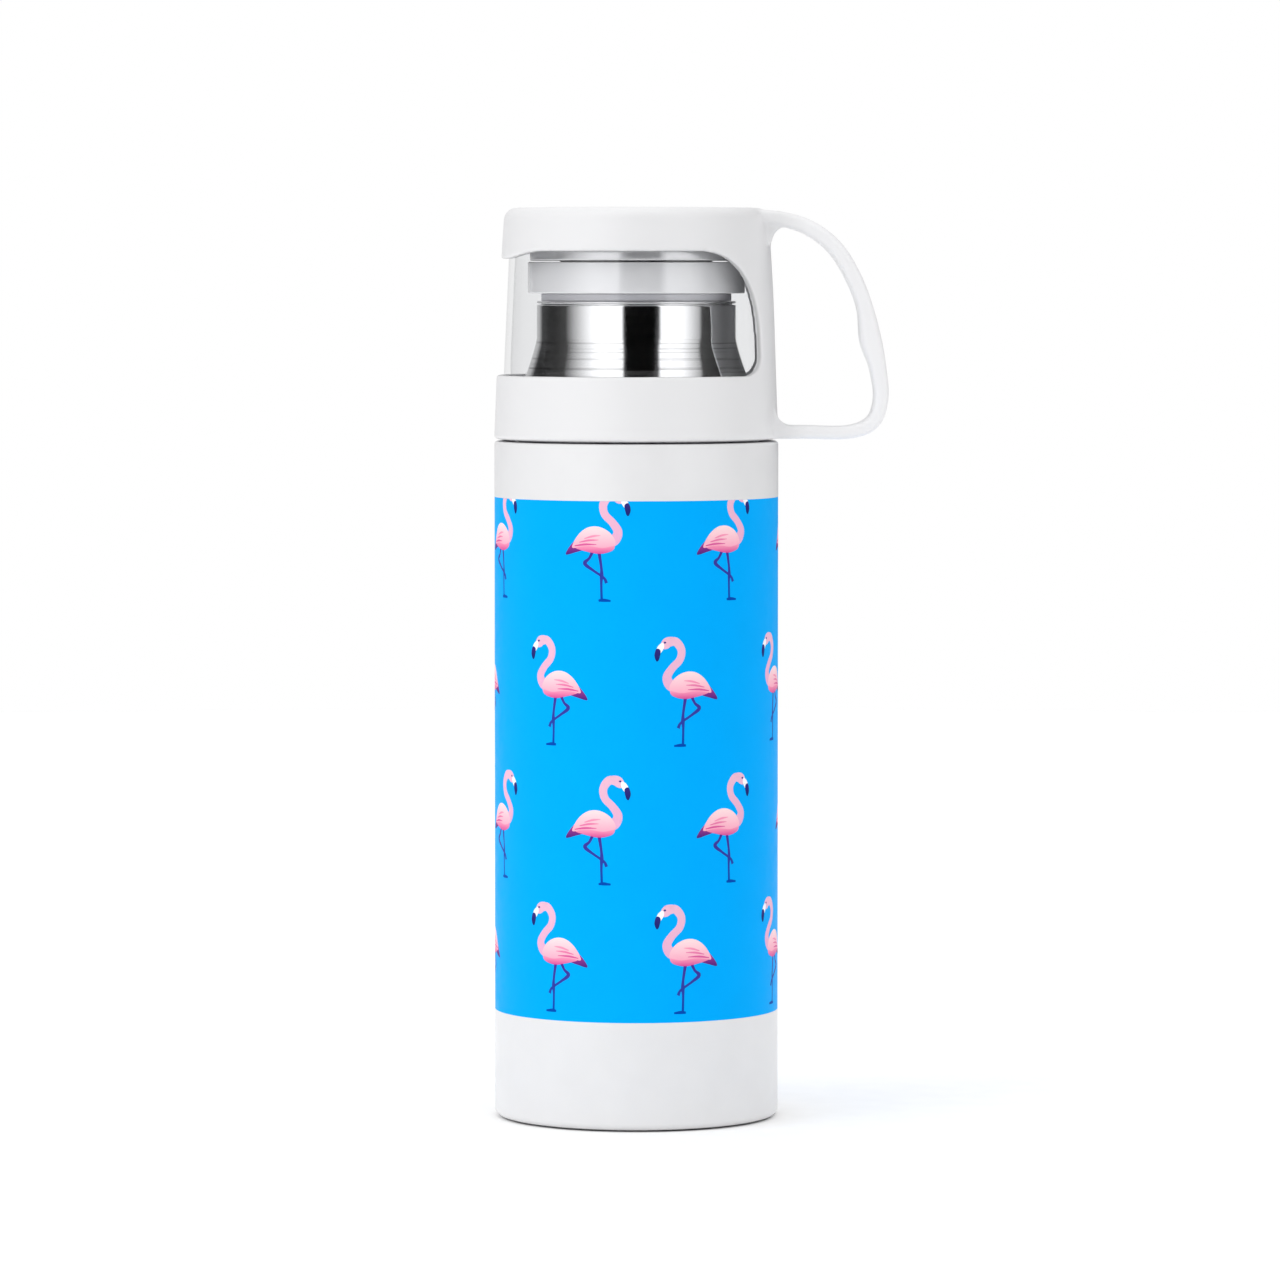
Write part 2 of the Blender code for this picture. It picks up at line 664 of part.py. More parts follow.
def stopper_cover(parent):
    """Top ring round the button, with a low channel under it that pours towards the back."""
    low = FLANGE_HIGH + GAP
    inside, outside = COVER_SKIRT_INSIDE, COVER_SKIRT_OUTSIDE
    profile = [(inside, COVER_SKIRT_LOW), (outside, COVER_SKIRT_LOW), (outside, low)]
    profile += [(COVER_R - COVER_CHAMFER, low), (COVER_R, low + COVER_CHAMFER)]
    profile += [(COVER_R, COVER_SLOPE_LOW), (COVER_TOP_R, COVER_TOP)]
    profile += [(BUTTON_HOLE_R + 0.8, COVER_TOP), (BUTTON_HOLE_R, COVER_TOP - 0.8)]
    profile += [(BUTTON_HOLE_R, low), (inside, low)]
    made = turned("stopper_cover", profile, grey_plastic(), parent)
    near = (-CHANNEL_HALF, CHANNEL_FROM, low - 0.2)
    far = (CHANNEL_HALF, CHANNEL_TO, low + CHANNEL_HIGH)
    channel = box_mesh("pour_channel", near, far)
    boolean(made, "pour_channel", channel, "DIFFERENCE")
    return made


def push_button(parent):
    """Button with a plunger that runs in the core, and a socket for the stem."""
    profile = [(0, BUTTON_TOP), (10.5, BUTTON_TOP - 0.25), (12.8, BUTTON_TOP - 1.0)]
    profile += [(BUTTON_R, BUTTON_TOP - 2.2), (BUTTON_R, BUTTON_LOW), (PLUNGER_R, BUTTON_LOW)]
    profile += [(PLUNGER_R, PLUNGER_LOW), (STEM_HOLE_R, PLUNGER_LOW)]
    profile += [(STEM_HOLE_R, SOCKET_TOP), (0, SOCKET_TOP)]
    return turned("push_button", profile, grey_plastic(), parent, SMALL_SEGMENTS)


def button_spring(parent):
    """Coil spring round the stem, between the core's floor and the plunger."""
    low = CORE_FLOOR + GAP + SPRING_WIRE_R
    high = PLUNGER_LOW - GAP - SPRING_WIRE_R
    count = SPRING_TURNS * SPRING_STEPS
    line = bpy.data.curves.new("button_spring", "CURVE")
    line.dimensions = "3D"
    line.bevel_depth = SPRING_WIRE_R * MM
    line.bevel_resolution = 1
    line.use_fill_caps = True
    spline = line.splines.new("POLY")
    spline.points.add(count)
    for index, point in enumerate(spline.points):
        angle = 2 * pi * index / SPRING_STEPS
        height = low + (high - low) * index / count
        place = Vector((SPRING_R * cos(angle), SPRING_R * sin(angle), height)) * MM
        point.co = (*place, 1.0)
    return add_object("button_spring", line, brushed_steel(), parent)


def valve_stem(parent):
    """Rod from the button down to the valve."""
    profile = [(0, STEM_LOW), (STEM_R, STEM_LOW), (STEM_R, STEM_TOP), (0, STEM_TOP)]
    return turned("valve_stem", profile, grey_plastic(), parent, SMALL_SEGMENTS)


def valve_seal(parent):
    """Soft disc that the spring holds against the plug's seat."""
    high = PLUG_LOW - GAP
    low = high - VALVE_THICK
    profile = [(STEM_R + GAP, low), (VALVE_R - VALVE_CHAMFER, low)]
    profile += [(VALVE_R, low + VALVE_CHAMFER), (VALVE_R, high), (STEM_R + GAP, high)]
    return turned("valve_seal", profile, silicone(), parent, SMALL_SEGMENTS)


def valve_nut(parent):
    """Nut plate on the end of the stem, which holds the soft disc on."""
    high = PLUG_LOW - 2 * GAP - VALVE_THICK
    low = high - NUT_THICK
    profile = [(STEM_R + GAP, low), (NUT_R - VALVE_CHAMFER, low)]
    profile += [(NUT_R, low + VALVE_CHAMFER), (NUT_R, high), (STEM_R + GAP, high)]
    return turned("valve_nut", profile, grey_plastic(), parent, SMALL_SEGMENTS)


def build():
    clear_scene()
    flask = axis_empty("flask")
    stopper_carrier = axis_empty("stopper_carrier", flask)
    stopper = axis_empty("stopper", stopper_carrier)
    button = axis_empty("button", stopper)
    cup_carrier = axis_empty("cup_carrier", stopper_carrier)
    cup = axis_empty("cup", cup_carrier)
    for make in (outer_shell, printed_wrap, steel_neck, inner_vessel, inner_base, radiation_foil,
                 getter_capsule, outer_base, vacuum_seal_plug, base_pad):
        make(flask)
    stopper_gasket(stopper_carrier)
    for make in (stopper_body, neck_seal, stopper_core, stopper_insulation, stopper_cover,
                 button_spring):
        make(stopper)
    for make in (push_button, valve_stem, valve_seal, valve_nut):
        make(button)
    cup_gasket(cup_carrier)
    for make in (cup_frame, cup_insert):
        make(cup)


build()
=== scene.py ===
"""The looks of the vacuum flask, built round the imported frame.

Lengths are in millimetres and MM turns them into metres. The flask's axis is Z, the mug's handle
points along +X and the camera stands towards -Y.
"""

from math import cos, pi, radians, sin, sqrt

import bmesh
import bpy
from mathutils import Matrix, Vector


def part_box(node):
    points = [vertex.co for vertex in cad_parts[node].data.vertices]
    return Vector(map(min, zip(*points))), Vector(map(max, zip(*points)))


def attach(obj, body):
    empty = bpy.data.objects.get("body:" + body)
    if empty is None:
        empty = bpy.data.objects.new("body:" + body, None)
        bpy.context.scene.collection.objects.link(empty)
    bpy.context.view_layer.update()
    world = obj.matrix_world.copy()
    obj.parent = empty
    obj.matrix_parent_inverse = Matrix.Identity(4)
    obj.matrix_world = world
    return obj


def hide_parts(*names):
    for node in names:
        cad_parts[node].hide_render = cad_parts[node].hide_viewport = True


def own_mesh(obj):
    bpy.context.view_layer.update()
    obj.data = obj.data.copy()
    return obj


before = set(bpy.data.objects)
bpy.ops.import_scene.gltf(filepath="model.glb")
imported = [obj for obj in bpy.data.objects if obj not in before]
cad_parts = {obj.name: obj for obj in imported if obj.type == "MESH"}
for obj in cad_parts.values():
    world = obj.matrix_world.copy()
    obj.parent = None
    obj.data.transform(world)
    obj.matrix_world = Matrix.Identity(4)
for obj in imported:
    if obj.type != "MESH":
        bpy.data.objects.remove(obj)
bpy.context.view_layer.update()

MM = 0.001


def span(node):
    """A CAD node's lowest and highest corners, in millimetres."""
    low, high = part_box(node)
    return low / MM, high / MM


SHELL_SPAN = span("outer_shell")
WRAP_SPAN = span("printed_wrap")
NECK_SPAN = span("steel_neck")
VESSEL_SPAN = span("inner_vessel")
FRAME_SPAN = span("cup_frame")
INSERT_SPAN = span("cup_insert")
PLUG_SPAN = span("stopper_body")
COVER_SPAN = span("stopper_cover")
BUTTON_SPAN = span("push_button")

# Bottle
BODY_R = SHELL_SPAN[1].x
SHELL_WALL = 0.8
SHELL_LOW = SHELL_SPAN[0].z
SHOULDER_Z = SHELL_SPAN[1].z
BASE_ROUND = 1.6
SHOULDER_ROUND = 0.8
WRAP_LOW = WRAP_SPAN[0].z
WRAP_HIGH = WRAP_SPAN[1].z
INK_THICK = 0.03
SEAT_ROOM = 0.1  # how far the print's seat lies under the inks
COLLAR_R = 29.1
COLLAR_WALL = 0.8
COLLAR_LOW = 168.4  # where the collar widens into its skirt
COLLAR_HIGH = 178.4
NECK_R = 24.5
NECK_WALL = 0.6
NECK_TOP = NECK_SPAN[1].z
NECK_EDGE = 0.15
NECK_RINGS = (0.5, 0.3)  # extra rings by the neck's top and by the cone keep its side's shading flat
CONE_SIDE = [
    (24.5, 192.6), (24.56, 192.0), (24.95, 190.2), (25.9, 187.0), (27.2, 183.2), (28.4, 180.4),
]
CONE_WALL = (0.72, 0.3)  # the cone's inside lies this much further in and lower
TOOL_MARK_Z = 192.8  # the tool's marks show below this height
TOOL_MARK_FADE = 0.3
LIP_TOP = VESSEL_SPAN[1].z
LIP_ROUND = 0.3
VESSEL_R = VESSEL_SPAN[1].x
VESSEL_NECK_R = 23.0
VESSEL_SEAL_R = 22.45
VESSEL_SEAL_Z = 184.4
VESSEL_WALL = 0.55
VESSEL_SLANT = 0.2  # how much lower the shoulder's inside lies
VESSEL_SIDE = [
    (VESSEL_R, 155.0), (31.2, 159.5), (29.0, 163.6), (26.2, 167.0), (24.0, 171.0), (23.0, 176.0),
]
PAD_ROUND = 0.8
GAP = 0.3

# Threads: where each starts and ends
THREAD_DEPTH = 0.6
THREAD_PITCH = 4.0
ROWS_PER_TURN = 14
THREAD_FADE = 6  # rows over which a thread's end runs out
NECK_THREAD = (178.6, 169.4)
MUG_THREAD = (180.4, 171.4)
MUG_THREAD_R = COLLAR_R + 1.5
VESSEL_THREAD = (185.6, 196.6)
STOPPER_THREAD = (186.0, 196.0)

# Mug
CUP_LOW = FRAME_SPAN[0].z
CUP_TOP = FRAME_SPAN[1].z
CUP_TOP_ROUND = 3.0
WINDOW_LOW = 183.3
WINDOW_HIGH = 213.5
WINDOW_DIP = 1.8  # how much lower the top edge hangs in the middle
WINDOW_DIP_ANGLES = (15, 45)  # the dip fades out between these
WINDOW_HALF_ANGLE = 152.5
WINDOW_CORNER_ANGLE = 34.5
WINDOW_CORNER_HIGH = 20.0
WINDOW_CORNER_LOW = 5.0
WINDOW_LOW_CORNER_ANGLE = 13.0
CUTTER_R = (26.0, 32.6, 40.0)  # inside, where the edge begins to flare, and outside
CUTTER_FLARE = 0.05
INSERT_LOW = INSERT_SPAN[0].z
INSERT_TOP = INSERT_SPAN[1].z
INSERT_SIDE = [(33.1, INSERT_LOW), (32.5, 187.0), (31.5, 209.0), (31.2, 216.0)]
INSERT_INSIDE = [(30.0, 209.0), (31.0, 187.0), (31.0, 181.6)]
INSERT_TOP_R = 28.2
INSERT_TOP_WALL = 1.7
INSERT_ROUND = 3.0
INSERT_EDGE = 0.3
CAVITY_PAST = 5.0  # how far the cut for the clear cup goes past the frame's foot
INSERT_MOUTH = (30.9, 32.8)
INSERT_BOWL = (27.2, 217.5, 2.4)  # the bowl's inner round: its centre and radius
FRAME_SIDE = [(35.0, CUP_LOW + 0.5), (34.65, 177.0), (34.3, 187.0), (33.8, 201.7), (33.1, 214.0)]
FRAME_LOW_R = 34.5
TOP_ROUND_R = 29.6
TOP_RIM_R = 27.6
TOP_RECESS_R = 27.0
TOP_RECESS = 0.8
FRAME_VOXEL = 0.42
FRAME_SMOOTHING = 12
FRAME_TAPER = 0.041  # how much narrower the frame gets with each millimetre of height
HANDLE_PAINTED_LIGHT = 1.11  # painted light: the thin handle is coloured this much lighter, standing for light passing through it
HANDLE_FROM, HANDLE_FULL = 36.5, 43.0  # radii between which that comes in
CUT_PAINTED_SHADE = 0.3  # painted shade: how much darker the window's cut edges are coloured
CUT_DEPTHS = (0.1, 0.5, 0.8, 1.2)  # depths in the wall where that starts, is full, and ends again
CUT_FADE = 0.8

# Handle: along its middle line, the place (x, z), the thickness and the width
HANDLE_STATIONS = [
    (28.5, 222.3, 3.2, 21.0),
    (35.5, 221.6, 3.6, 19.0),
    (42.6, 219.3, 3.8, 16.5),
    (48.9, 214.4, 3.9, 15.0),
    (53.4, 207.2, 3.9, 14.0),
    (56.2, 199.8, 4.0, 13.6),
    (57.6, 192.0, 5.4, 13.4),
    (59.3, 185.6, 4.2, 13.6),
    (60.2, 177.8, 3.6, 14.0),
    (58.2, 171.7, 3.5, 14.5),
    (52.3, 169.2, 3.2, 15.0),
    (42.0, 169.2, 3.2, 17.0),
    (32.0, 169.2, 3.2, 20.0),
]
HANDLE_SIDES = 24
HANDLE_EDGE = 0.72  # radius of the strap's edges as a share of half its thickness
WEB_R = 4.2
WEB_HALF_WIDTH = 8.5
WEB_IN_BODY = 3.0  # how far a web reaches into the mug's side
WEB_IN_ARM = 1.0
WEB_LOW = (34.3, 170.7)
WEB_TOP = (33.2, 219.8)

MUG_GASKET_BORE = 30.4

# Stopper
PLUG_LOW = PLUG_SPAN[0].z
PLUG_R = 21.5
PLUG_LOWER_R = 21.0
PLUG_STEP_Z = 185.6
PLUG_FOOT_R = 19.5
PLUG_FOOT_HIGH = 175.5
PLUG_EDGE = 0.35
PLUG_CAVITY_R = 19.0
PLUG_SEAT_R = 8.0
PLUG_FLOOR = 1.8
SEAL_GROOVE_R = 19.8
SEAL_GROOVE = (176.8, 180.2)
LIP_GASKET_GROW = 0.22  # the gasket fills the gaps that the CAD leaves above and below it
FLANGE_LOW = 203.3
FLANGE_HIGH = PLUG_SPAN[1].z
FLANGE_R = PLUG_SPAN[1].x
COVER_LOW = COVER_SPAN[0].z
COVER_TOP = COVER_SPAN[1].z
COVER_R = COVER_SPAN[1].x
COVER_SKIRT = (17.3, 18.7)
COVER_SKIRT_TALL = 4.8
COVER_SIDE_TALL = 2.6
COVER_SLOPE = 1.4
COVER_HOLE_R = 14.0
COVER_EDGE = 0.4
CHANNEL_X = (-4.5, 4.5)
CHANNEL_Y = (9.0, 30.0)
CHANNEL_TALL = 2.2
CHANNEL_PAST = 0.2
BUTTON_R = BUTTON_SPAN[1].x
BUTTON_TOP = BUTTON_SPAN[1].z
BUTTON_CAP_LOW = 212.0
BUTTON_DISH = [
    (0, -1.0), (4.0, -0.95), (8.0, -0.6), (10.6, -0.1), (11.6, 0.0), (12.6, -0.25), (13.3, -1.0),
]
BUTTON_SHOULDER = 2.2
BUTTON_EDGE = 0.3
PLUNGER_LOW = BUTTON_SPAN[0].z
PLUNGER_R = 9.0
SOCKET_R = 2.6
SOCKET_TOP = 211.0
SPRING_R = 5.5
SPRING_WIRE_R = 0.45
SPRING_LOW = 189.8
SPRING_HIGH = 204.8
SPRING_TURNS = 6.0
SPRING_END_TURNS = 0.8  # the turns at each end that lie nearly flat
SPRING_END_RISE = 2.2 * SPRING_WIRE_R

ROUND_SEGMENTS = 192
NEARLY_STRAIGHT = radians(150)
SHARP_EDGE = radians(50)


# ---- shapes ----


def arc(centre_r, centre_z, radius, start, end, steps=8):
    """Points of a profile along an arc, both ends included, angles in degrees from outwards."""
    points = []
    for step in range(steps + 1):
        angle = radians(start + (end - start) * step / steps)
        points.append((centre_r + radius * cos(angle), centre_z + radius * sin(angle)))
    return points


def soften(profile, radius, steps=4):
    """The closed profile with each sharp corner turned into a small arc."""
    out = []
    count = len(profile)
    for index, point in enumerate(profile):
        before, after = profile[index - 1], profile[(index + 1) % count]
        if len(point) > 2 or point[0] == 0:
            out.append(point)
            continue
        here = Vector(point[:2])
        back = Vector(before[:2]) - here
        ahead = Vector(after[:2]) - here
        if back.angle(ahead, pi) > NEARLY_STRAIGHT:
            out.append(point)
            continue
        reach = min(radius, 0.4 * back.length, 0.4 * ahead.length)
        start = here + back.normalized() * reach
        end = here + ahead.normalized() * reach
        for step in range(steps + 1):
            t = step / steps
            bow = start * (1 - t) * (1 - t) + here * 2 * t * (1 - t) + end * t * t
            out.append((bow.x, bow.y))
    return out


def thread_rows(radius, start, end, depth):
    """Profile points of a threaded wall: radius, height, ridge height. The ends run out."""
    count = round(abs(end - start) / THREAD_PITCH * ROWS_PER_TURN)
    rows = []
    for row in range(count + 1):
        fade = min(1.0, row / THREAD_FADE, (count - row) / THREAD_FADE)
        rows.append((radius, start + (end - start) * row / count, depth * fade))
    return rows


def ring_points(point, segments):
    """One profile point carried round the axis. A ridge climbs by its pitch in one turn."""
    radius, height, ridge = (*point, 0.0)[:3]
    ring = []
    for segment in range(segments):
        angle = 2 * pi * segment / segments
        crest = max(0.0, cos(2 * pi * height / THREAD_PITCH - angle))
        r = radius + ridge * crest
        ring.append(Vector((r * cos(angle), r * sin(angle), height)))
    return ring


def mesh_from(name, bm):
    """The finished mesh, in metres, facing out and shaded smooth."""
    bmesh.ops.recalc_face_normals(bm, faces=bm.faces)
    bmesh.ops.scale(bm, vec=(MM, MM, MM), verts=bm.verts)
    mesh = bpy.data.meshes.new(name)
    bm.to_mesh(mesh)
    bm.free()
    mesh.shade_smooth()
    mesh.set_sharp_from_angle(angle=SHARP_EDGE)
    return mesh


def turned_mesh(name, profile, segments=ROUND_SEGMENTS):
    """A closed outline turned round Z. An outline that starts and ends on the axis closes there."""
    bm = bmesh.new()
    rings = []
    for point in profile:
        if point[0] == 0:
            rings.append([bm.verts.new((0, 0, point[1]))])
        else:
            rings.append([bm.verts.new(place) for place in ring_points(point, segments)])
    for lower, upper in zip(rings, rings[1:] + rings[:1]):
        if len(lower) == 1 and len(upper) == 1:
            continue
        for a in range(segments):
            b = (a + 1) % segments
            quad = [lower[a % len(lower)], lower[b % len(lower)]]
            quad += [upper[b % len(upper)], upper[a % len(upper)]]
            bm.faces.new(dict.fromkeys(quad))
    return mesh_from(name, bm)


def bend(a, b, c, d, steps):
    """Points of a smooth curve from b up to c (Catmull-Rom), with a before them and d after."""
    out = []
    for step in range(steps):
        t = step / steps
        near = b * 2 + (c - a) * t + (a * 2 - b * 5 + c * 4 - d) * t * t
        out.append((near + (b * 3 - a - c * 3 + d) * t * t * t) / 2)
    return out


def curve_through(points, steps):
    """Smooth curve through every point, with the given steps between two points."""
    points = [Vector(point) for point in points]
    ends = [points[0] * 2 - points[1]] + points + [points[-1] * 2 - points[-2]]
    out = []
    for four in zip(ends, ends[1:], ends[2:], ends[3:]):
        out += bend(*four, steps)
    return out + [points[-1]]


def skin(bm, rings):
    """Faces round and between rings of points that follow one another, with both ends closed."""
    for here, there in zip(rings, rings[1:]):
        for a in range(len(here)):
            b = (a + 1) % len(here)
            bm.faces.new((here[a], here[b], there[b], there[a]))
    bm.faces.new(rings[0])
    bm.faces.new(reversed(rings[-1]))


def show(name, mesh, finish, body, slot, *nodes):
    """A visible piece: its material, its body, its slot, which is not used, and the CAD nodes that
    it stands for.
    """
    made = bpy.data.objects.new(name, mesh)
    made.data.materials.clear()
    made.data.materials.append(finish)
    bpy.context.scene.collection.objects.link(made)
    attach(made, body)
    if nodes:
        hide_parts(*nodes)
    return made


# ---- materials ----

NOISE_SPAN = (0.3, 0.7)  # nearly all of a noise texture lies between these


def map_range(tree, value, source, target=(0.0, 1.0)):
    """The value moved from its source range to the target range, and held to its ends."""
    node = tree.nodes.new("ShaderNodeMapRange")
    node.inputs["From Min"].default_value = source[0]
    node.inputs["From Max"].default_value = source[1]
    node.inputs["To Min"].default_value = target[0]
    node.inputs["To Max"].default_value = target[1]
    tree.links.new(value, node.inputs["Value"])
    return node.outputs["Result"]


def calculate(tree, operation, *values):
    """The result of a Math node whose inputs are numbers or sockets."""
    node = tree.nodes.new("ShaderNodeMath")
    node.operation = operation
    for socket, value in zip(node.inputs, values):
        if isinstance(value, bpy.types.NodeSocket):
            tree.links.new(value, socket)
        else:
            socket.default_value = value
    return node.outputs["Value"]


class Finish:
    """A Principled material with helpers for patterns in the object's own space, in metres."""

    def __init__(self, name, colour, roughness, metallic=0.0):
        self.made = bpy.data.materials.new(name)
        self.made.use_nodes = True
        self.tree = self.made.node_tree
        self.nodes = self.tree.nodes
        self.links = self.tree.links
        self.shader = self.nodes["Principled BSDF"]
        self.set("Base Color", (*colour, 1.0))
        self.set("Roughness", roughness)
        self.set("Metallic", metallic)
        self.place = self.nodes.new("ShaderNodeTexCoord").outputs["Object"]

    def set(self, socket, value):
        self.shader.inputs[socket].default_value = value

    def noise(self, scale, detail=2.0, stretch=(1, 1, 1)):
        """Noise from 0 to 1, with scale in waves per metre."""
        mapping = self.nodes.new("ShaderNodeMapping")
        mapping.inputs["Scale"].default_value = stretch
        self.links.new(self.place, mapping.inputs["Vector"])
        noise = self.nodes.new("ShaderNodeTexNoise")
        noise.inputs["Scale"].default_value = scale
        noise.inputs["Detail"].default_value = detail
        self.links.new(mapping.outputs["Vector"], noise.inputs["Vector"])
        return noise.outputs["Fac"]

    def spread(self, value, low, high):
        """A noise value stretched to run from low to high."""
        return map_range(self.tree, value, NOISE_SPAN, (low, high))

    def ramp(self, value, start, end):
        """0 to 1 as the value, a length in metres, goes from start to end in millimetres."""
        return map_range(self.tree, value, (start * MM, end * MM))

    def math(self, operation, *values):
        return calculate(self.tree, operation, *values)

    def split(self, vector):
        """The X, Y and Z of a vector."""
        node = self.nodes.new("ShaderNodeSeparateXYZ")
        self.links.new(vector, node.inputs["Vector"])
        return [node.outputs[axis] for axis in "XYZ"]

    def blend(self, factor, first, second):
        """The base colour goes from the first colour at 0 to the second at 1."""
        mix = self.nodes.new("ShaderNodeMix")
        mix.data_type = "RGBA"
        mix.inputs["A"].default_value = (*first, 1.0)
        mix.inputs["B"].default_value = (*second, 1.0)
        self.links.new(factor, mix.inputs["Factor"])
        self.links.new(mix.outputs["Result"], self.shader.inputs["Base Color"])

    def tint(self, value, first, second):
        """The base colour runs from the first colour to the second with a noise value."""
        self.blend(self.spread(value, 0, 1), first, second)

    def rough(self, value, low, high):
        self.links.new(self.spread(value, low, high), self.shader.inputs["Roughness"])

    def bump(self, value, height):
        """Relief of the given height in metres."""
        bump = self.nodes.new("ShaderNodeBump")
        bump.inputs["Strength"].default_value = 1.0
        bump.inputs["Distance"].default_value = height
        self.links.new(value, bump.inputs["Height"])
        self.links.new(bump.outputs["Normal"], self.shader.inputs["Normal"])
        return bump


def shade(colour, share):
    return tuple(channel * share for channel in colour)


def moulded(name, colour, roughness, grain=2500, relief=4e-6, metallic=0.0, specular=0.5):
    """Moulded plastic, rubber or coating: fine grain, a little unevenness in colour and gloss."""
    made = Finish(name, colour, roughness, metallic)
    made.set("Specular IOR Level", specular)
    made.tint(made.noise(120, 3), shade(colour, 0.975), shade(colour, 1.0))
    made.rough(made.noise(400, 2), roughness * 0.85, roughness * 1.15)
    made.bump(made.noise(grain, 2), relief)
    return made.made


def turned_steel(name, colour, roughness):
    """Steel turned on a lathe: fine rings round the axis."""
    made = Finish(name, colour, roughness, 1.0)
    fine = made.noise(1.0, 3, (30, 30, 5200))
    made.tint(fine, shade(colour, 0.93), colour)
    made.rough(made.noise(1.0, 2, (60, 60, 2600)), roughness * 0.7, roughness * 1.4)
    made.bump(fine, 4e-6)
    return made.made


def neck_steel():
    """Polished steel, with the tool's marks as dull rings on the cone but not on the neck."""
    colour = (0.95, 0.95, 0.96)
    made = Finish("neck_steel", colour, 0.05, 1.0)
    height = made.split(made.place)[2]
    mask = made.ramp(height, TOOL_MARK_Z + TOOL_MARK_FADE, TOOL_MARK_Z - TOOL_MARK_FADE)
    marks = made.spread(made.noise(1.0, 3, (9, 9, 1300)), -1.0, 0.8)
    made.blend(made.math("MULTIPLY", marks, mask), colour, shade(colour, 0.5))
    made.rough(made.noise(1.0, 2, (40, 40, 1500)), 0.035, 0.1)
    made.bump(made.noise(1.0, 2, (14, 14, 900)), 6e-6)
    return made.made


def clear_moulding():
    """Clear polished plastic: see-through, with the gloss of its surface and a faint grey cast."""
    made = Finish("clear_plastic", (0.95, 0.96, 0.97), 0.03)
    see = made.nodes.new("ShaderNodeBsdfTransparent")
    see.inputs["Color"].default_value = (0.975, 0.977, 0.98, 1.0)
    slant = made.nodes.new("ShaderNodeLayerWeight")
    slant.inputs["Blend"].default_value = 0.5
    steep = made.math("POWER", slant.outputs["Facing"], 5.0)
    gloss = made.math("MULTIPLY_ADD", steep, 0.215, 0.035)  # from 0.035 face on to 0.25 edge on
    mix = made.nodes.new("ShaderNodeMixShader")
    mirror = made.nodes.new("ShaderNodeBsdfGlossy")
    mirror.inputs["Roughness"].default_value = 0.03
    made.links.new(gloss, mix.inputs["Fac"])
    made.links.new(see.outputs["BSDF"], mix.inputs[1])
    made.links.new(mirror.outputs["BSDF"], mix.inputs[2])
    made.links.new(mix.outputs["Shader"], made.nodes["Material Output"].inputs["Surface"])
    return made.made


def mug_plastic():
    """Moulded white plastic, with painted light on the thin handle and painted shade on the window's
    cut edges.
    """
    made = Finish("white_plastic", WHITE, 0.38)
    x, y, height = made.split(made.place)
    flat = made.nodes.new("ShaderNodeCombineXYZ")
    made.links.new(x, flat.inputs["X"])
    made.links.new(y, flat.inputs["Y"])
    length = made.nodes.new("ShaderNodeVectorMath")
    length.operation = "LENGTH"
    made.links.new(flat.outputs["Vector"], length.inputs[0])
    radius = length.outputs["Value"]
    # painted shade: a little way into the wall, the window's cut edges are coloured darker
    level = made.math("MULTIPLY_ADD", height, FRAME_TAPER, radius)
    face = BODY_R + FRAME_TAPER * CUP_LOW  # the frame's outer surface, which its level stays on
    outer = made.ramp(level, face - CUT_DEPTHS[0], face - CUT_DEPTHS[1])
    inner = made.ramp(level, face - CUT_DEPTHS[3], face - CUT_DEPTHS[2])
    cut = made.math("MULTIPLY", outer, inner)
    below = made.ramp(height, WINDOW_HIGH + CUT_FADE, WINDOW_HIGH)
    cut = made.math("MULTIPLY", cut, below)
    # painted light: the thin handle's colour is lightened, standing for light that passes through
    # the thin plastic
    plain = 1 / HANDLE_PAINTED_LIGHT
    handle = made.ramp(radius, HANDLE_FROM, HANDLE_FULL)
    light = made.math("MULTIPLY_ADD", handle, 1 - plain, plain)
    share = made.math("MULTIPLY_ADD", cut, -CUT_PAINTED_SHADE, light)
    made.blend(share, (0.0, 0.0, 0.0), shade(WHITE, HANDLE_PAINTED_LIGHT))
    made.rough(made.noise(400, 2), 0.32, 0.44)
    made.bump(made.noise(900, 2), 4e-6)
    return made.made


WHITE = (0.755, 0.755, 0.765)
COATING = moulded("white_coating", WHITE, 0.34, 1400, 5e-6)
MUG_WHITE = mug_plastic()
BLUE = moulded("blue_print", (0.0, 0.405, 0.97), 0.4, 1400, 4e-6, specular=0.02)
NECK_STEEL = neck_steel()
VESSEL_STEEL = turned_steel("vessel_steel", (0.8, 0.8, 0.81), 0.25)
COPPER = turned_steel("copper_foil", (0.85, 0.5, 0.36), 0.25)
STOPPER_GREY = moulded("stopper_plastic", (0.86, 0.86, 0.875), 0.16, 2500, 3e-6, 0.1, 0.8)
BUTTON_GREY = moulded("button_plastic", (0.66, 0.67, 0.69), 0.3, 2500, 4e-6)
COVER_GREY = moulded("cover_plastic", (0.8, 0.8, 0.815), 0.18, 2500, 3e-6, 0.5, 0.8)
SEAL_GREY = moulded("silicone", (0.66, 0.655, 0.69), 0.4, 1800, 4e-6, 0.15)
PAD_GREY = moulded("base_rubber", (0.2, 0.2, 0.21), 0.7, 1800, 2e-5)
FOAM_WHITE = moulded("foam", (0.82, 0.82, 0.8), 0.9, 900, 1e-4)
CLEAR = clear_moulding()


# ---- bottle ----


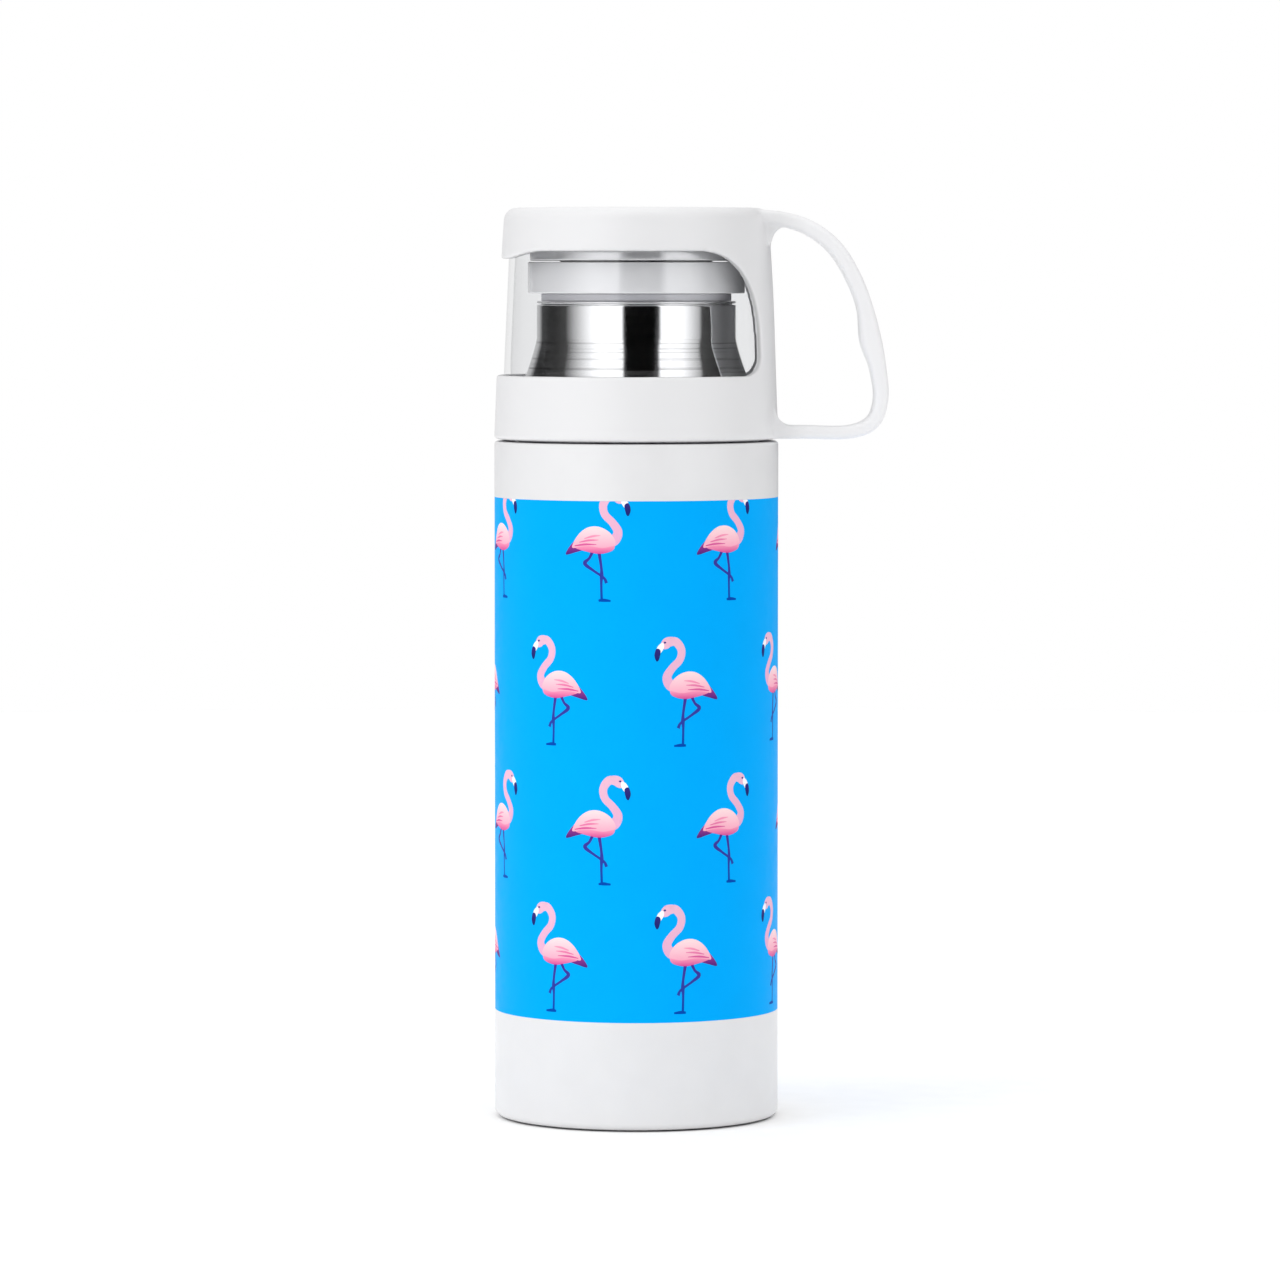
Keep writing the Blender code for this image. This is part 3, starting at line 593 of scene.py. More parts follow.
def show_shell():
    """Coated body with a curled base edge, a seat for the print and a rounded shoulder."""
    seat = BODY_R - 2 * INK_THICK - SEAT_ROOM
    curl_r, curl_z = BODY_R - BASE_ROUND, SHELL_LOW + BASE_ROUND
    ledge_r = COLLAR_R + SHELL_WALL + GAP
    profile = arc(curl_r, curl_z, BASE_ROUND, -90, 0)
    profile += [(BODY_R, WRAP_LOW), (seat, WRAP_LOW), (seat, WRAP_HIGH), (BODY_R, WRAP_HIGH)]
    profile += arc(BODY_R - SHOULDER_ROUND, SHOULDER_Z - SHOULDER_ROUND, SHOULDER_ROUND, 0, 90)
    profile += [(ledge_r, SHOULDER_Z), (ledge_r, SHOULDER_Z - SHELL_WALL)]
    profile += [(BODY_R - SHELL_WALL, SHOULDER_Z - SHELL_WALL)]
    profile += arc(curl_r, curl_z, BASE_ROUND - SHELL_WALL, 0, -90)
    mesh = turned_mesh("body_shell", profile)
    show("body_shell", mesh, COATING, "flask", "white_coating", "outer_shell")


def show_wrap():
    """The print's blue ground, a hair under the coating so that the motifs end flush with it."""
    inside, outside = BODY_R - 2 * INK_THICK - SEAT_ROOM / 2, BODY_R - INK_THICK
    profile = [(inside, WRAP_LOW), (outside, WRAP_LOW), (outside, WRAP_HIGH), (inside, WRAP_HIGH)]
    mesh = turned_mesh("blue_band", profile)
    show("blue_band", mesh, BLUE, "flask", "blue_print", "printed_wrap")


def show_neck():
    """Bare steel neck, the cone under it and the thread that the mug screws on."""
    skirt_r = COLLAR_R + COLLAR_WALL
    inside_r = COLLAR_R - COLLAR_WALL
    flange_top = SHOULDER_Z - SHELL_WALL - GAP
    flange_low = flange_top - COLLAR_WALL
    flange_r = NECK_SPAN[1].x
    outside = [(point.x, point.y) for point in curve_through(CONE_SIDE, 8)]
    inside = [(r - CONE_WALL[0], z - CONE_WALL[1]) for r, z in reversed(outside)]
    profile = [(NECK_R - NECK_WALL, NECK_TOP), (NECK_R - NECK_EDGE, NECK_TOP)]
    profile += [(NECK_R, NECK_TOP - NECK_EDGE), (NECK_R, NECK_TOP - NECK_RINGS[0])]
    profile += [(NECK_R, TOOL_MARK_Z + NECK_RINGS[1])]
    profile += outside
    profile += thread_rows(COLLAR_R, *NECK_THREAD, THREAD_DEPTH)
    profile += [(skirt_r, COLLAR_LOW), (skirt_r, flange_top), (flange_r, flange_top)]
    profile += [(flange_r, flange_low), (COLLAR_R, flange_low), (inside_r, COLLAR_LOW)]
    profile += [(inside_r, COLLAR_HIGH)] + inside
    show("neck", turned_mesh("neck", profile), NECK_STEEL, "flask", "brushed_steel", "steel_neck")


def show_vessel():
    """Inner vessel with the stopper's thread and a rolled lip."""
    wall, low = VESSEL_WALL, VESSEL_SPAN[0].z
    shoulder = curve_through(VESSEL_SIDE, 6)
    profile = [(VESSEL_R - wall, low)]
    profile += [(point.x - wall, point.y - VESSEL_SLANT) for point in shoulder]
    profile += [(VESSEL_SEAL_R, VESSEL_SEAL_Z)]
    profile += thread_rows(VESSEL_NECK_R, *VESSEL_THREAD, -THREAD_DEPTH)
    profile += [(VESSEL_NECK_R, LIP_TOP - LIP_ROUND), (VESSEL_NECK_R + LIP_ROUND, LIP_TOP)]
    profile += arc(NECK_R - LIP_ROUND, LIP_TOP - LIP_ROUND, LIP_ROUND, 90, -90)
    profile += [(VESSEL_NECK_R + wall, NECK_TOP + GAP), (VESSEL_NECK_R + wall, VESSEL_THREAD[0])]
    profile += [(VESSEL_SEAL_R + wall, VESSEL_SEAL_Z)]
    profile += [(point.x, point.y) for point in reversed(shoulder)] + [(VESSEL_R, low)]
    mesh = turned_mesh("vessel", profile)
    show("vessel", mesh, VESSEL_STEEL, "flask", "brushed_steel", "inner_vessel")


def show_base_pad():
    low, high = span("base_pad")
    profile = [(0, low.z), (high.x - PAD_ROUND, low.z)]
    profile += arc(high.x - PAD_ROUND, low.z + PAD_ROUND, PAD_ROUND, -90, 0)
    profile += [(high.x, high.z), (0, high.z)]
    show("foot_pad", turned_mesh("foot_pad", profile), PAD_GREY, "flask", "base_rubber", "base_pad")


# ---- mug ----


def smooth_step(low, high, value):
    """0 below low, 1 above high, and a smooth rise between them."""
    t = min(1.0, max(0.0, (value - low) / (high - low)))
    return t * t * (3 - 2 * t)


def window_top(angle):
    """Height of the window's top edge, at an angle from the side opposite the handle."""
    dip = WINDOW_DIP * (1 - smooth_step(*WINDOW_DIP_ANGLES, abs(angle)))
    into_corner = abs(angle) - (WINDOW_HALF_ANGLE - WINDOW_CORNER_ANGLE)
    if into_corner <= 0:
        return WINDOW_HIGH - dip
    along = min(1.0, into_corner / WINDOW_CORNER_ANGLE)
    return WINDOW_HIGH - WINDOW_CORNER_HIGH * (1 - sqrt(1 - along * along))


def window_bottom(angle):
    """Height of the window's lower edge, level up to its corners."""
    into_corner = abs(angle) - (WINDOW_HALF_ANGLE - WINDOW_LOW_CORNER_ANGLE)
    if into_corner <= 0:
        return WINDOW_LOW
    along = min(1.0, into_corner / WINDOW_LOW_CORNER_ANGLE)
    return WINDOW_LOW + WINDOW_CORNER_LOW * (1 - sqrt(1 - along * along))


def window_mesh():
    """Bent bar that cuts the window through the mug's frame, a little wider outside than inside."""
    bm = bmesh.new()
    start = WINDOW_HALF_ANGLE - WINDOW_CORNER_ANGLE
    sides, round_steps = 60, 20
    level = [start * step / sides for step in range(-sides, sides + 1)]
    corner = []
    for step in range(1, round_steps + 1):
        corner.append(start + WINDOW_CORNER_ANGLE * sin(radians(90 * step / round_steps)))
    columns = []
    for angle in [-a for a in reversed(corner)] + level + corner:
        low, high = window_bottom(angle), window_top(angle)
        up = [(radius, flare, low) for radius, flare in zip(CUTTER_R, (0.0, 0.0, CUTTER_FLARE))]
        column = []
        for radius, flare, height in up + [(r, flare, high) for r, flare, z in reversed(up)]:
            turn = radians(180 + angle * (1 + flare))
            column.append(bm.verts.new((radius * cos(turn), radius * sin(turn), height)))
        columns.append(column)
    skin(bm, columns)
    return mesh_from("window", bm)


def strap_section(thick, wide):
    """Outline of the handle's strap, a bar with rounded edges: places across it and along Y."""
    edge = HANDLE_EDGE * thick / 2
    section = []
    for step in range(HANDLE_SIDES):
        angle = 2 * pi * step / HANDLE_SIDES
        flat_t = thick / 2 - edge if cos(angle) > 0 else edge - thick / 2
        flat_w = wide / 2 - edge if sin(angle) > 0 else edge - wide / 2
        section.append((flat_t + edge * cos(angle), flat_w + edge * sin(angle)))
    return section


def handle_mesh():
    """Strap of the handle, from inside the mug's top round to inside its lower band."""
    line = curve_through(HANDLE_STATIONS, 10)
    bm = bmesh.new()
    rings = []
    for index, here in enumerate(line):
        before = line[max(index - 1, 0)]
        after = line[min(index + 1, len(line) - 1)]
        along = Vector((after[0] - before[0], 0, after[1] - before[1])).normalized()
        across = Vector((along.z, 0, -along.x))
        centre = Vector((here[0], 0, here[1]))
        ring = [centre + across * t + Vector((0, w, 0)) for t, w in strap_section(here[2], here[3])]
        rings.append([bm.verts.new(place) for place in ring])
    skin(bm, rings)
    return mesh_from("handle", bm)


def web_mesh(name, corner_x, corner_z, up):
    """Web that rounds the inner corner between the mug's side and an arm of the handle."""
    bm = bmesh.new()
    arm_z = corner_z - WEB_IN_ARM * up
    outline = [(corner_x - WEB_IN_BODY, arm_z), (corner_x + WEB_R, arm_z)]
    for x, z in arc(WEB_R, WEB_R, WEB_R, 270, 180, 12):
        outline.append((corner_x + x, corner_z + up * z))
    outline.append((corner_x - WEB_IN_BODY, corner_z + WEB_R * up))
    sides = []
    for y in (-WEB_HALF_WIDTH, WEB_HALF_WIDTH):
        sides.append([bm.verts.new((x, y, z)) for x, z in outline])
    skin(bm, sides)
    return mesh_from(name, bm)


def cavity_mesh():
    """Room inside the mug's frame."""
    below = CUP_LOW - CAVITY_PAST
    profile = [(0, below), (INSERT_SIDE[0][0] + GAP, below)]
    profile += [(r + GAP, z) for r, z in INSERT_SIDE]
    profile += arc(INSERT_TOP_R, INSERT_TOP - INSERT_ROUND, INSERT_ROUND + GAP, 0, 90)
    profile += [(0, INSERT_TOP + GAP)]
    return turned_mesh("cavity", profile)


def combined(base, steps):
    """The base mesh joined with or cut by other meshes, in order."""
    target = bpy.data.objects.new("work", base)
    bpy.context.scene.collection.objects.link(target)
    helpers = []
    for mesh, operation in steps:
        helper = bpy.data.objects.new("helper", mesh)
        bpy.context.scene.collection.objects.link(helper)
        helpers.append(helper)
        step = target.modifiers.new("step", "BOOLEAN")
        step.object = helper
        step.operation = operation
    return target, helpers


def applied(target, helpers, name):
    """The target's final mesh, with the helpers and the target removed."""
    view = bpy.context.evaluated_depsgraph_get()
    mesh = bpy.data.meshes.new_from_object(target.evaluated_get(view))
    mesh.name = name
    for old in [target, *helpers]:
        bpy.data.objects.remove(old)
    return mesh


def show_cup_frame():
    """White moulding with its window and handle. Remeshing and smoothing round every edge a bit."""
    recess_z = CUP_TOP - TOP_RECESS
    profile = [(0, CUP_LOW), (FRAME_LOW_R, CUP_LOW)]
    profile += [(point.x, point.y) for point in curve_through(FRAME_SIDE, 4)]
    profile += arc(TOP_ROUND_R, CUP_TOP - CUP_TOP_ROUND, CUP_TOP_ROUND, 0, 90)
    profile += [(TOP_RIM_R, CUP_TOP), (TOP_RECESS_R, recess_z), (0, recess_z)]
    steps = [
        (handle_mesh(), "UNION"),
        (web_mesh("low_web", *WEB_LOW, 1), "UNION"),
        (web_mesh("top_web", *WEB_TOP, -1), "UNION"),
        (cavity_mesh(), "DIFFERENCE"),
        (window_mesh(), "DIFFERENCE"),
    ]
    target, helpers = combined(turned_mesh("frame_solid", profile), steps)
    remesh = target.modifiers.new("remesh", "REMESH")
    remesh.mode = "VOXEL"
    remesh.voxel_size = FRAME_VOXEL * MM
    smooth = target.modifiers.new("smooth", "SMOOTH")
    smooth.factor = 0.5
    smooth.iterations = FRAME_SMOOTHING
    mesh = applied(target, helpers, "mug_frame")
    mesh.shade_smooth()
    show("mug_frame", mesh, MUG_WHITE, "cup", "white_plastic", "cup_frame")


def show_insert():
    """Clear inner cup with a rounded base, a rounded mouth and its thread."""
    edge_z = INSERT_LOW + INSERT_EDGE
    profile = [(radius, INSERT_LOW) for radius in INSERT_MOUTH] + [(INSERT_SIDE[0][0], edge_z)]
    profile += INSERT_SIDE[1:]
    profile += arc(INSERT_TOP_R, INSERT_TOP - INSERT_ROUND, INSERT_ROUND, 0, 90)
    profile += [(0, INSERT_TOP), (0, INSERT_TOP - INSERT_TOP_WALL)]
    profile += arc(*INSERT_BOWL, 90, 0)
    profile += INSERT_INSIDE
    profile += thread_rows(MUG_THREAD_R, *MUG_THREAD, -THREAD_DEPTH)
    profile += [(MUG_THREAD_R, edge_z)]
    mesh = turned_mesh("clear_cup", profile)
    show("clear_cup", mesh, CLEAR, "cup", "clear_plastic", "cup_insert")


def show_ring(name, node, body, bore, radius=0.35, grow=0.0):
    """A soft ring with rounded edges, from the CAD ring's box and bore. It may grow in height."""
    low, high = span(node)
    bottom, top = low.z - grow, high.z + grow
    profile = [(bore, bottom), (high.x, bottom), (high.x, top), (bore, top)]
    mesh = turned_mesh(name, soften(profile, radius))
    show(name, mesh, SEAL_GREY, body, "silicone", node)


# ---- stopper ----


def show_stopper_body():
    """Hollow threaded plug with its flange."""
    floor = PLUG_LOW + PLUG_FLOOR
    low, high = SEAL_GROOVE
    profile = [(PLUG_SEAT_R, PLUG_LOW), (PLUG_FOOT_R, PLUG_LOW), (PLUG_LOWER_R, PLUG_FOOT_HIGH)]
    profile += [(PLUG_LOWER_R, low), (SEAL_GROOVE_R, low), (SEAL_GROOVE_R, high)]
    profile += [(PLUG_LOWER_R, high), (PLUG_LOWER_R, PLUG_STEP_Z)]
    profile += thread_rows(PLUG_R, *STOPPER_THREAD, THREAD_DEPTH)
    profile += [(PLUG_R, FLANGE_LOW), (FLANGE_R, FLANGE_LOW), (FLANGE_R, FLANGE_HIGH)]
    profile += [(PLUG_CAVITY_R, FLANGE_HIGH), (PLUG_CAVITY_R, floor), (PLUG_SEAT_R, floor)]
    mesh = turned_mesh("stopper", soften(profile, PLUG_EDGE))
    show("stopper", mesh, STOPPER_GREY, "stopper", "stopper_plastic", "stopper_body")


def show_stopper_cover():
    """Ring round the button, with the pouring channel under it."""
    low = COVER_LOW + COVER_SKIRT_TALL
    inside, outside = COVER_SKIRT
    profile = [(inside, COVER_LOW), (outside, COVER_LOW), (outside, low), (COVER_R, low)]
    profile += [(COVER_R, low + COVER_SIDE_TALL), (COVER_R - COVER_SLOPE, COVER_TOP)]
    profile += [(COVER_HOLE_R, COVER_TOP), (COVER_HOLE_R, low), (inside, low)]
    bm = bmesh.new()
    bmesh.ops.create_cube(bm, size=1.0)
    reach = (CHANNEL_X, CHANNEL_Y, (low - CHANNEL_PAST, low + CHANNEL_TALL))
    for vert in bm.verts:
        for axis, (least, most) in enumerate(reach):
            vert.co[axis] = most if vert.co[axis] > 0 else least
    channel = mesh_from("channel", bm)
    cover = turned_mesh("cover", soften(profile, COVER_EDGE))
    target, helpers = combined(cover, [(channel, "DIFFERENCE")])
    mesh = applied(target, helpers, "cover_ring")
    show("cover_ring", mesh, COVER_GREY, "stopper", "stopper_plastic", "stopper_cover")


def show_button():
    """Push button: a shallow finger dish with a raised rim, and its plunger."""
    profile = [(radius, BUTTON_TOP + drop) for radius, drop in BUTTON_DISH]
    profile += [(BUTTON_R, BUTTON_TOP - BUTTON_SHOULDER), (BUTTON_R, BUTTON_CAP_LOW)]
    profile += [(PLUNGER_R, BUTTON_CAP_LOW), (PLUNGER_R, PLUNGER_LOW)]
    profile += [(SOCKET_R, PLUNGER_LOW), (SOCKET_R, SOCKET_TOP), (0, SOCKET_TOP)]
    mesh = turned_mesh("button", soften(profile, BUTTON_EDGE))
    show("button", mesh, BUTTON_GREY, "button", "stopper_plastic", "push_button")


def spring_height(along):
    """Height of the spring's wire at a share of its length: nearly flat, climbing, nearly flat."""
    low, high = SPRING_LOW + SPRING_WIRE_R, SPRING_HIGH - SPRING_WIRE_R
    turns = along * SPRING_TURNS
    left = SPRING_TURNS - turns
    climb = (turns - SPRING_END_TURNS) / (SPRING_TURNS - 2 * SPRING_END_TURNS)
    height = low + SPRING_END_RISE * min(1.0, turns / SPRING_END_TURNS)
    height += (high - low - 2 * SPRING_END_RISE) * min(1.0, max(0.0, climb))
    return height + SPRING_END_RISE * max(0.0, 1 - left / SPRING_END_TURNS)


def show_spring():
    """Coil spring round the stem, flat at both ends."""
    bm = bmesh.new()
    steps, sides = round(SPRING_TURNS * 32), 10
    rings = []
    for step in range(steps + 1):
        turn = 2 * pi * SPRING_TURNS * step / steps
        height = spring_height(step / steps)
        ring = []
        for side in range(sides):
            angle = 2 * pi * side / sides
            out = SPRING_R + SPRING_WIRE_R * cos(angle)
            place = (out * cos(turn), out * sin(turn), height + SPRING_WIRE_R * sin(angle))
            ring.append(bm.verts.new(place))
        rings.append(ring)
    skin(bm, rings)
    mesh = mesh_from("spring", bm)
    made = show("spring", mesh, VESSEL_STEEL, "stopper", "brushed_steel", "button_spring")
    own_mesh(made)


# ---- print ----
# A wading bird of its own plain design, drawn flat in millimetres from its standing foot, facing
# right: x along the body's surface and y up. Rows alternate in direction and are half a step apart.

ROW_FEET = (128.9, 93.7, 60.1, 28.7)
COLUMN_STEP = 54.0
BIRDS_PER_ROW = 7
FIRST_ANGLE = {1: -176.0, -1: -143.0}
CUT_STEP = 1.0  # width of the strips that a flat shape is cut into before it is wrapped
BIRD_TALL = 28.0
CLIP_EDGE = 0.02  # how far inside the band's edges the inks end


def closed_outline(points, steps=6):
    """Smooth closed outline through the points."""
    vectors = [Vector(point) for point in points]
    count = len(vectors)
    out = []
    for index in range(count):
        out += bend(*(vectors[(index + offset) % count] for offset in (-1, 0, 1, 2)), steps)
    return [(point.x, point.y) for point in out]


def stroke(points, steps=6):
    """Outline of a line with a changing width. Each point is x, y and width."""
    line = curve_through(points, steps)
    left, right = [], []
    for index, here in enumerate(line):
        before, after = line[max(index - 1, 0)], line[min(index + 1, len(line) - 1)]
        along = Vector((after.x - before.x, after.y - before.y)).normalized()
        side = Vector((-along.y, along.x)) * here.z / 2
        left.append((here.x + side.x, here.y + side.y))
        right.append((here.x - side.x, here.y - side.y))
    return left + list(reversed(right))


def bird_shapes():
    """The motif's outlines by ink, from the lowest layer up, with its colours at top and foot."""
    standing = [(0.1, 0.4, 0.6), (0.0, 4.6, 0.62), (0.1, 6.3, 0.95), (0.0, 8.4, 0.65),
                (-0.7, 12.8, 0.9)]
    toes = [(-0.7, 0.35, 0.5), (0.5, 0.45, 0.8), (2.3, 0.3, 0.45)]
    folded = [(-1.9, 12.8, 0.9), (-3.0, 10.6, 0.65), (-4.2, 9.3, 0.95), (-2.0, 7.6, 0.62),
              (0.6, 5.9, 0.62), (1.3, 4.6, 0.8)]
    tail = [(-9.3, 11.4), (-8.0, 13.6), (-5.6, 15.6), (-3.6, 14.9), (-4.4, 12.8), (-6.8, 11.9)]
    body = [(-7.6, 13.2), (-5.9, 16.2), (-3.4, 18.0), (-0.6, 18.2), (2.0, 16.9), (3.5, 14.6),
            (2.6, 12.6), (-0.4, 11.8), (-3.6, 12.4), (-5.6, 13.1)]
    belly = [(-6.6, 13.0), (-3.4, 13.5), (0.4, 13.1), (3.2, 13.6), (2.6, 12.4), (-0.4, 11.65),
             (-3.8, 12.2)]
    neck = [(1.0, 14.4, 2.6), (3.2, 15.0, 2.6), (4.1, 17.0, 2.2), (2.8, 19.2, 1.9),
            (0.9, 21.2, 1.9), (0.5, 23.6, 2.0), (2.0, 25.6, 2.1), (4.0, 25.3, 2.0)]
    head = [(2.2, 26.45), (3.8, 26.75), (5.1, 26.1), (5.7, 24.7), (4.9, 23.8), (3.4, 24.3)]
    cheek = [(5.2, 25.4), (6.3, 24.6), (6.8, 23.2), (6.1, 22.6), (5.2, 23.5), (4.8, 24.6)]
    tip = [(5.7, 23.4), (6.7, 23.9), (7.2, 22.3), (6.7, 20.9), (6.1, 21.3)]
    eye = [(4.3, 25.4), (4.65, 25.65), (4.95, 25.4), (4.65, 25.15)]
    feathers = []
    for lift in (0.0, 1.0, 2.0):
        back, middle, front = -6.9 + 1.3 * lift, -4.2 + lift, -1.2 + 0.5 * lift
        feathers.append([(back, 13.5 + 0.9 * lift, 0.2), (middle, 13.9 + 1.0 * lift, 0.5),
                         (front, 13.9 + 1.1 * lift, 0.15)])
    legs = [stroke(line) for line in (folded, standing, toes)]
    pale, pink, rose = (0.98, 0.74, 0.76), (0.93, 0.33, 0.49), (0.66, 0.07, 0.3)
    bone = (0.95, 0.93, 0.96)
    return [
        ("print_legs", legs, (0.06, 0.03, 0.28), (0.0, 0.07, 0.42)),
        ("print_tail", [closed_outline(tail)], (0.5, 0.06, 0.3), (0.06, 0.02, 0.2)),
        ("print_neck", [stroke(neck), closed_outline(head)], (0.84, 0.5, 0.64), (0.8, 0.42, 0.62)),
        ("print_body", [closed_outline(body)], pale, pink),
        ("print_belly", [closed_outline(belly)], pink, rose),
        ("print_feathers", [stroke(line) for line in feathers], pink, rose),
        ("print_beak", [closed_outline(cheek)], bone, bone),
        ("print_tip", [closed_outline(tip), closed_outline(eye, 4)],
         (0.05, 0.03, 0.22), (0.01, 0.02, 0.16)),
    ]


def cut_outline(outline):
    """The outline filled and cut into upright strips: its points and its faces."""
    bm = bmesh.new()
    bm.faces.new([bm.verts.new((x, y, 0)) for x, y in outline])
    bmesh.ops.triangulate(bm, faces=bm.faces)
    least, most = min(x for x, y in outline), max(x for x, y in outline)
    place = least + CUT_STEP
    while place < most:
        everything = bm.verts[:] + bm.edges[:] + bm.faces[:]
        bmesh.ops.bisect_plane(bm, geom=everything, plane_co=(place, 0, 0), plane_no=(1, 0, 0))
        place += CUT_STEP
    bm.verts.index_update()
    points = [(vert.co.x, vert.co.y) for vert in bm.verts]
    faces = [[vert.index for vert in face.verts] for face in bm.faces]
    bm.free()
    return points, faces


def bird_places():
    """Angle from the front, height of the foot and direction of each bird."""
    for row, foot in enumerate(ROW_FEET):
        facing = 1 if row % 2 == 0 else -1
        for column in range(BIRDS_PER_ROW):
            yield FIRST_ANGLE[facing] + COLUMN_STEP * column, foot, facing


def ink(name, top, foot, heights):
    """Printed ink that runs from one colour to the other over the shape's height in the motif."""
    made = Finish(name, top, 0.4)
    made.set("Specular IOR Level", 0.02)
    drawing = made.nodes.new("ShaderNodeUVMap")
    drawing.uv_map = "drawing"
    height = made.math("MULTIPLY", made.split(drawing.outputs["UV"])[1], BIRD_TALL * MM)
    made.blend(made.ramp(height, min(heights), max(heights)), foot, top)
    made.bump(made.noise(1400, 2), 4e-6)
    return made.made


def show_ink(name, outlines, finish, level):
    """One ink of the print: every bird's shapes as a thin closed film round the body. Its level,
    0 to 1, is how high it lies among the inks."""
    cut = [cut_outline(outline) for outline in outlines]
    bm = bmesh.new()
    drawing = bm.loops.layers.uv.new("drawing")
    for angle, foot, facing in bird_places():
        centre = radians(angle) * BODY_R
        for points, faces in cut:
            verts = [bm.verts.new((centre + facing * x, foot + y, 0)) for x, y in points]
            for face in faces:
                made = bm.faces.new([verts[index] for index in face])
                for loop, index in zip(made.loops, face):
                    x, y = points[index]
                    loop[drawing].uv = (0.5 + x / BIRD_TALL, y / BIRD_TALL)
    for height, outward in ((WRAP_HIGH - CLIP_EDGE, 1), (WRAP_LOW + CLIP_EDGE, -1)):
        everything = bm.verts[:] + bm.edges[:] + bm.faces[:]
        bmesh.ops.bisect_plane(bm, geom=everything, plane_co=(0, height, 0),
                               plane_no=(0, outward, 0), clear_outer=True)
    sheet = list(bm.faces)
    bmesh.ops.recalc_face_normals(bm, faces=sheet)
    inner = bmesh.ops.extrude_face_region(bm, geom=sheet)["geom"]
    lower = {vert for vert in inner if isinstance(vert, bmesh.types.BMVert)}
    for vert in bm.verts:
        radius = BODY_R - INK_THICK * (2 if vert in lower else 1 - level)
        angle = vert.co.x / BODY_R - pi / 2
        vert.co = Vector((radius * cos(angle), radius * sin(angle), vert.co.y))
    show(name, mesh_from(name, bm), finish, "flask", "blue_print")


def show_print():
    layers = bird_shapes()
    for layer, (name, outlines, top, foot) in enumerate(layers):
        heights = [y for outline in outlines for x, y in outline]
        show_ink(name, outlines, ink(name, top, foot, heights), (layer + 1) / len(layers))


# ---- pieces that keep their CAD shape ----


def finish_cad_nodes():
    """Materials for the hidden pieces that are shown as they were made."""
    kept = {
        "inner_base": VESSEL_STEEL,
        "outer_base": VESSEL_STEEL,
        "getter_capsule": VESSEL_STEEL,
        "vacuum_seal_plug": VESSEL_STEEL,
        "radiation_foil": COPPER,
        "stopper_core": BUTTON_GREY,
        "stopper_insulation": FOAM_WHITE,
        "valve_stem": BUTTON_GREY,
        "valve_seal": SEAL_GREY,
        "valve_nut": BUTTON_GREY,
    }
    for node, finish in kept.items():
        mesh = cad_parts[node].data
        mesh.materials.clear()
        mesh.materials.append(finish)


# ---- stage ----

FLOOR_R = 1500.0
STUDIO_MOST = 2.0  # brightness that the studio's curve draws as 1

# Light and camera, in metres and watts
KEY_PLACE = Vector((-1.5, -1.0, 1.0))
KEY_AIM = Vector((0.0, 0.0, 0.11))
KEY_SIZE = 1.2
KEY_POWER = 9
CAMERA_PLACE = Vector((0.0009, -1.6245, 0.2096))
CAMERA_AIM = Vector((0.0009, 0.0, 0.1178))
CAMERA_LENS = 185.3  # on a sensor 36 mm wide


def add_floor():
    """Pale round floor, small enough that the polished neck mirrors the studio instead of it."""
    bm = bmesh.new()
    bmesh.ops.create_circle(bm, cap_ends=True, segments=96, radius=FLOOR_R)
    floor = bpy.data.objects.new("floor", mesh_from("floor", bm))
    floor.data.materials.append(moulded("floor_white", (0.93, 0.93, 0.93), 0.9, 300, 1e-5))
    bpy.context.scene.collection.objects.link(floor)


def add_key_light():
    """Square soft light from the left. Gloss mirrors the studio's panels and not this light."""
    lamp = bpy.data.lights.new("key", "AREA")
    lamp.energy = KEY_POWER
    lamp.size = KEY_SIZE
    light = bpy.data.objects.new("key", lamp)
    light.location = KEY_PLACE
    light.rotation_euler = (KEY_AIM - KEY_PLACE).to_track_quat("-Z", "Y").to_euler()
    light.visible_glossy = False
    bpy.context.scene.collection.objects.link(light)


# Brightness that polished surfaces mirror, by direction in degrees from the camera's side
# towards the handle: two wide soft panels, with the dark of the room between and beside them.
STUDIO = [
    (-180, 0.75), (-152, 0.5), (-140, 0.04), (-120, 0.0), (-90, 0.02), (-66, 0.8), (-45, 1.5),
    (-17, 1.4), (-14, 0.0), (26, 0.0), (29, 1.4), (56, 1.3), (78, 0.45), (82, 0.0), (107, 0.0),
    (111, 0.3), (165, 0.22), (180, 0.75),
]
SKY_LEVEL = 0.48  # light from the horizon
SKY_RISE = 1.08  # added towards the top of the sky


def studio_light(tree, x, y):
    """Brightness of the studio in the direction that has these X and Y."""
    angle = calculate(tree, "ARCTAN2", x, calculate(tree, "MULTIPLY", y, -1.0))
    curve = tree.nodes.new("ShaderNodeFloatCurve")
    line = curve.mapping.curves[0]
    line.points[0].location = (0, STUDIO[0][1] / STUDIO_MOST)
    line.points[1].location = (1, STUDIO[-1][1] / STUDIO_MOST)
    for degrees, level in STUDIO[1:-1]:
        line.points.new((degrees + 180) / 360, level / STUDIO_MOST)
    for point in line.points:
        point.handle_type = "VECTOR"
    curve.mapping.update()
    tree.links.new(map_range(tree, angle, (-pi, pi)), curve.inputs["Value"])
    return calculate(tree, "MULTIPLY", curve.outputs["Value"], STUDIO_MOST)


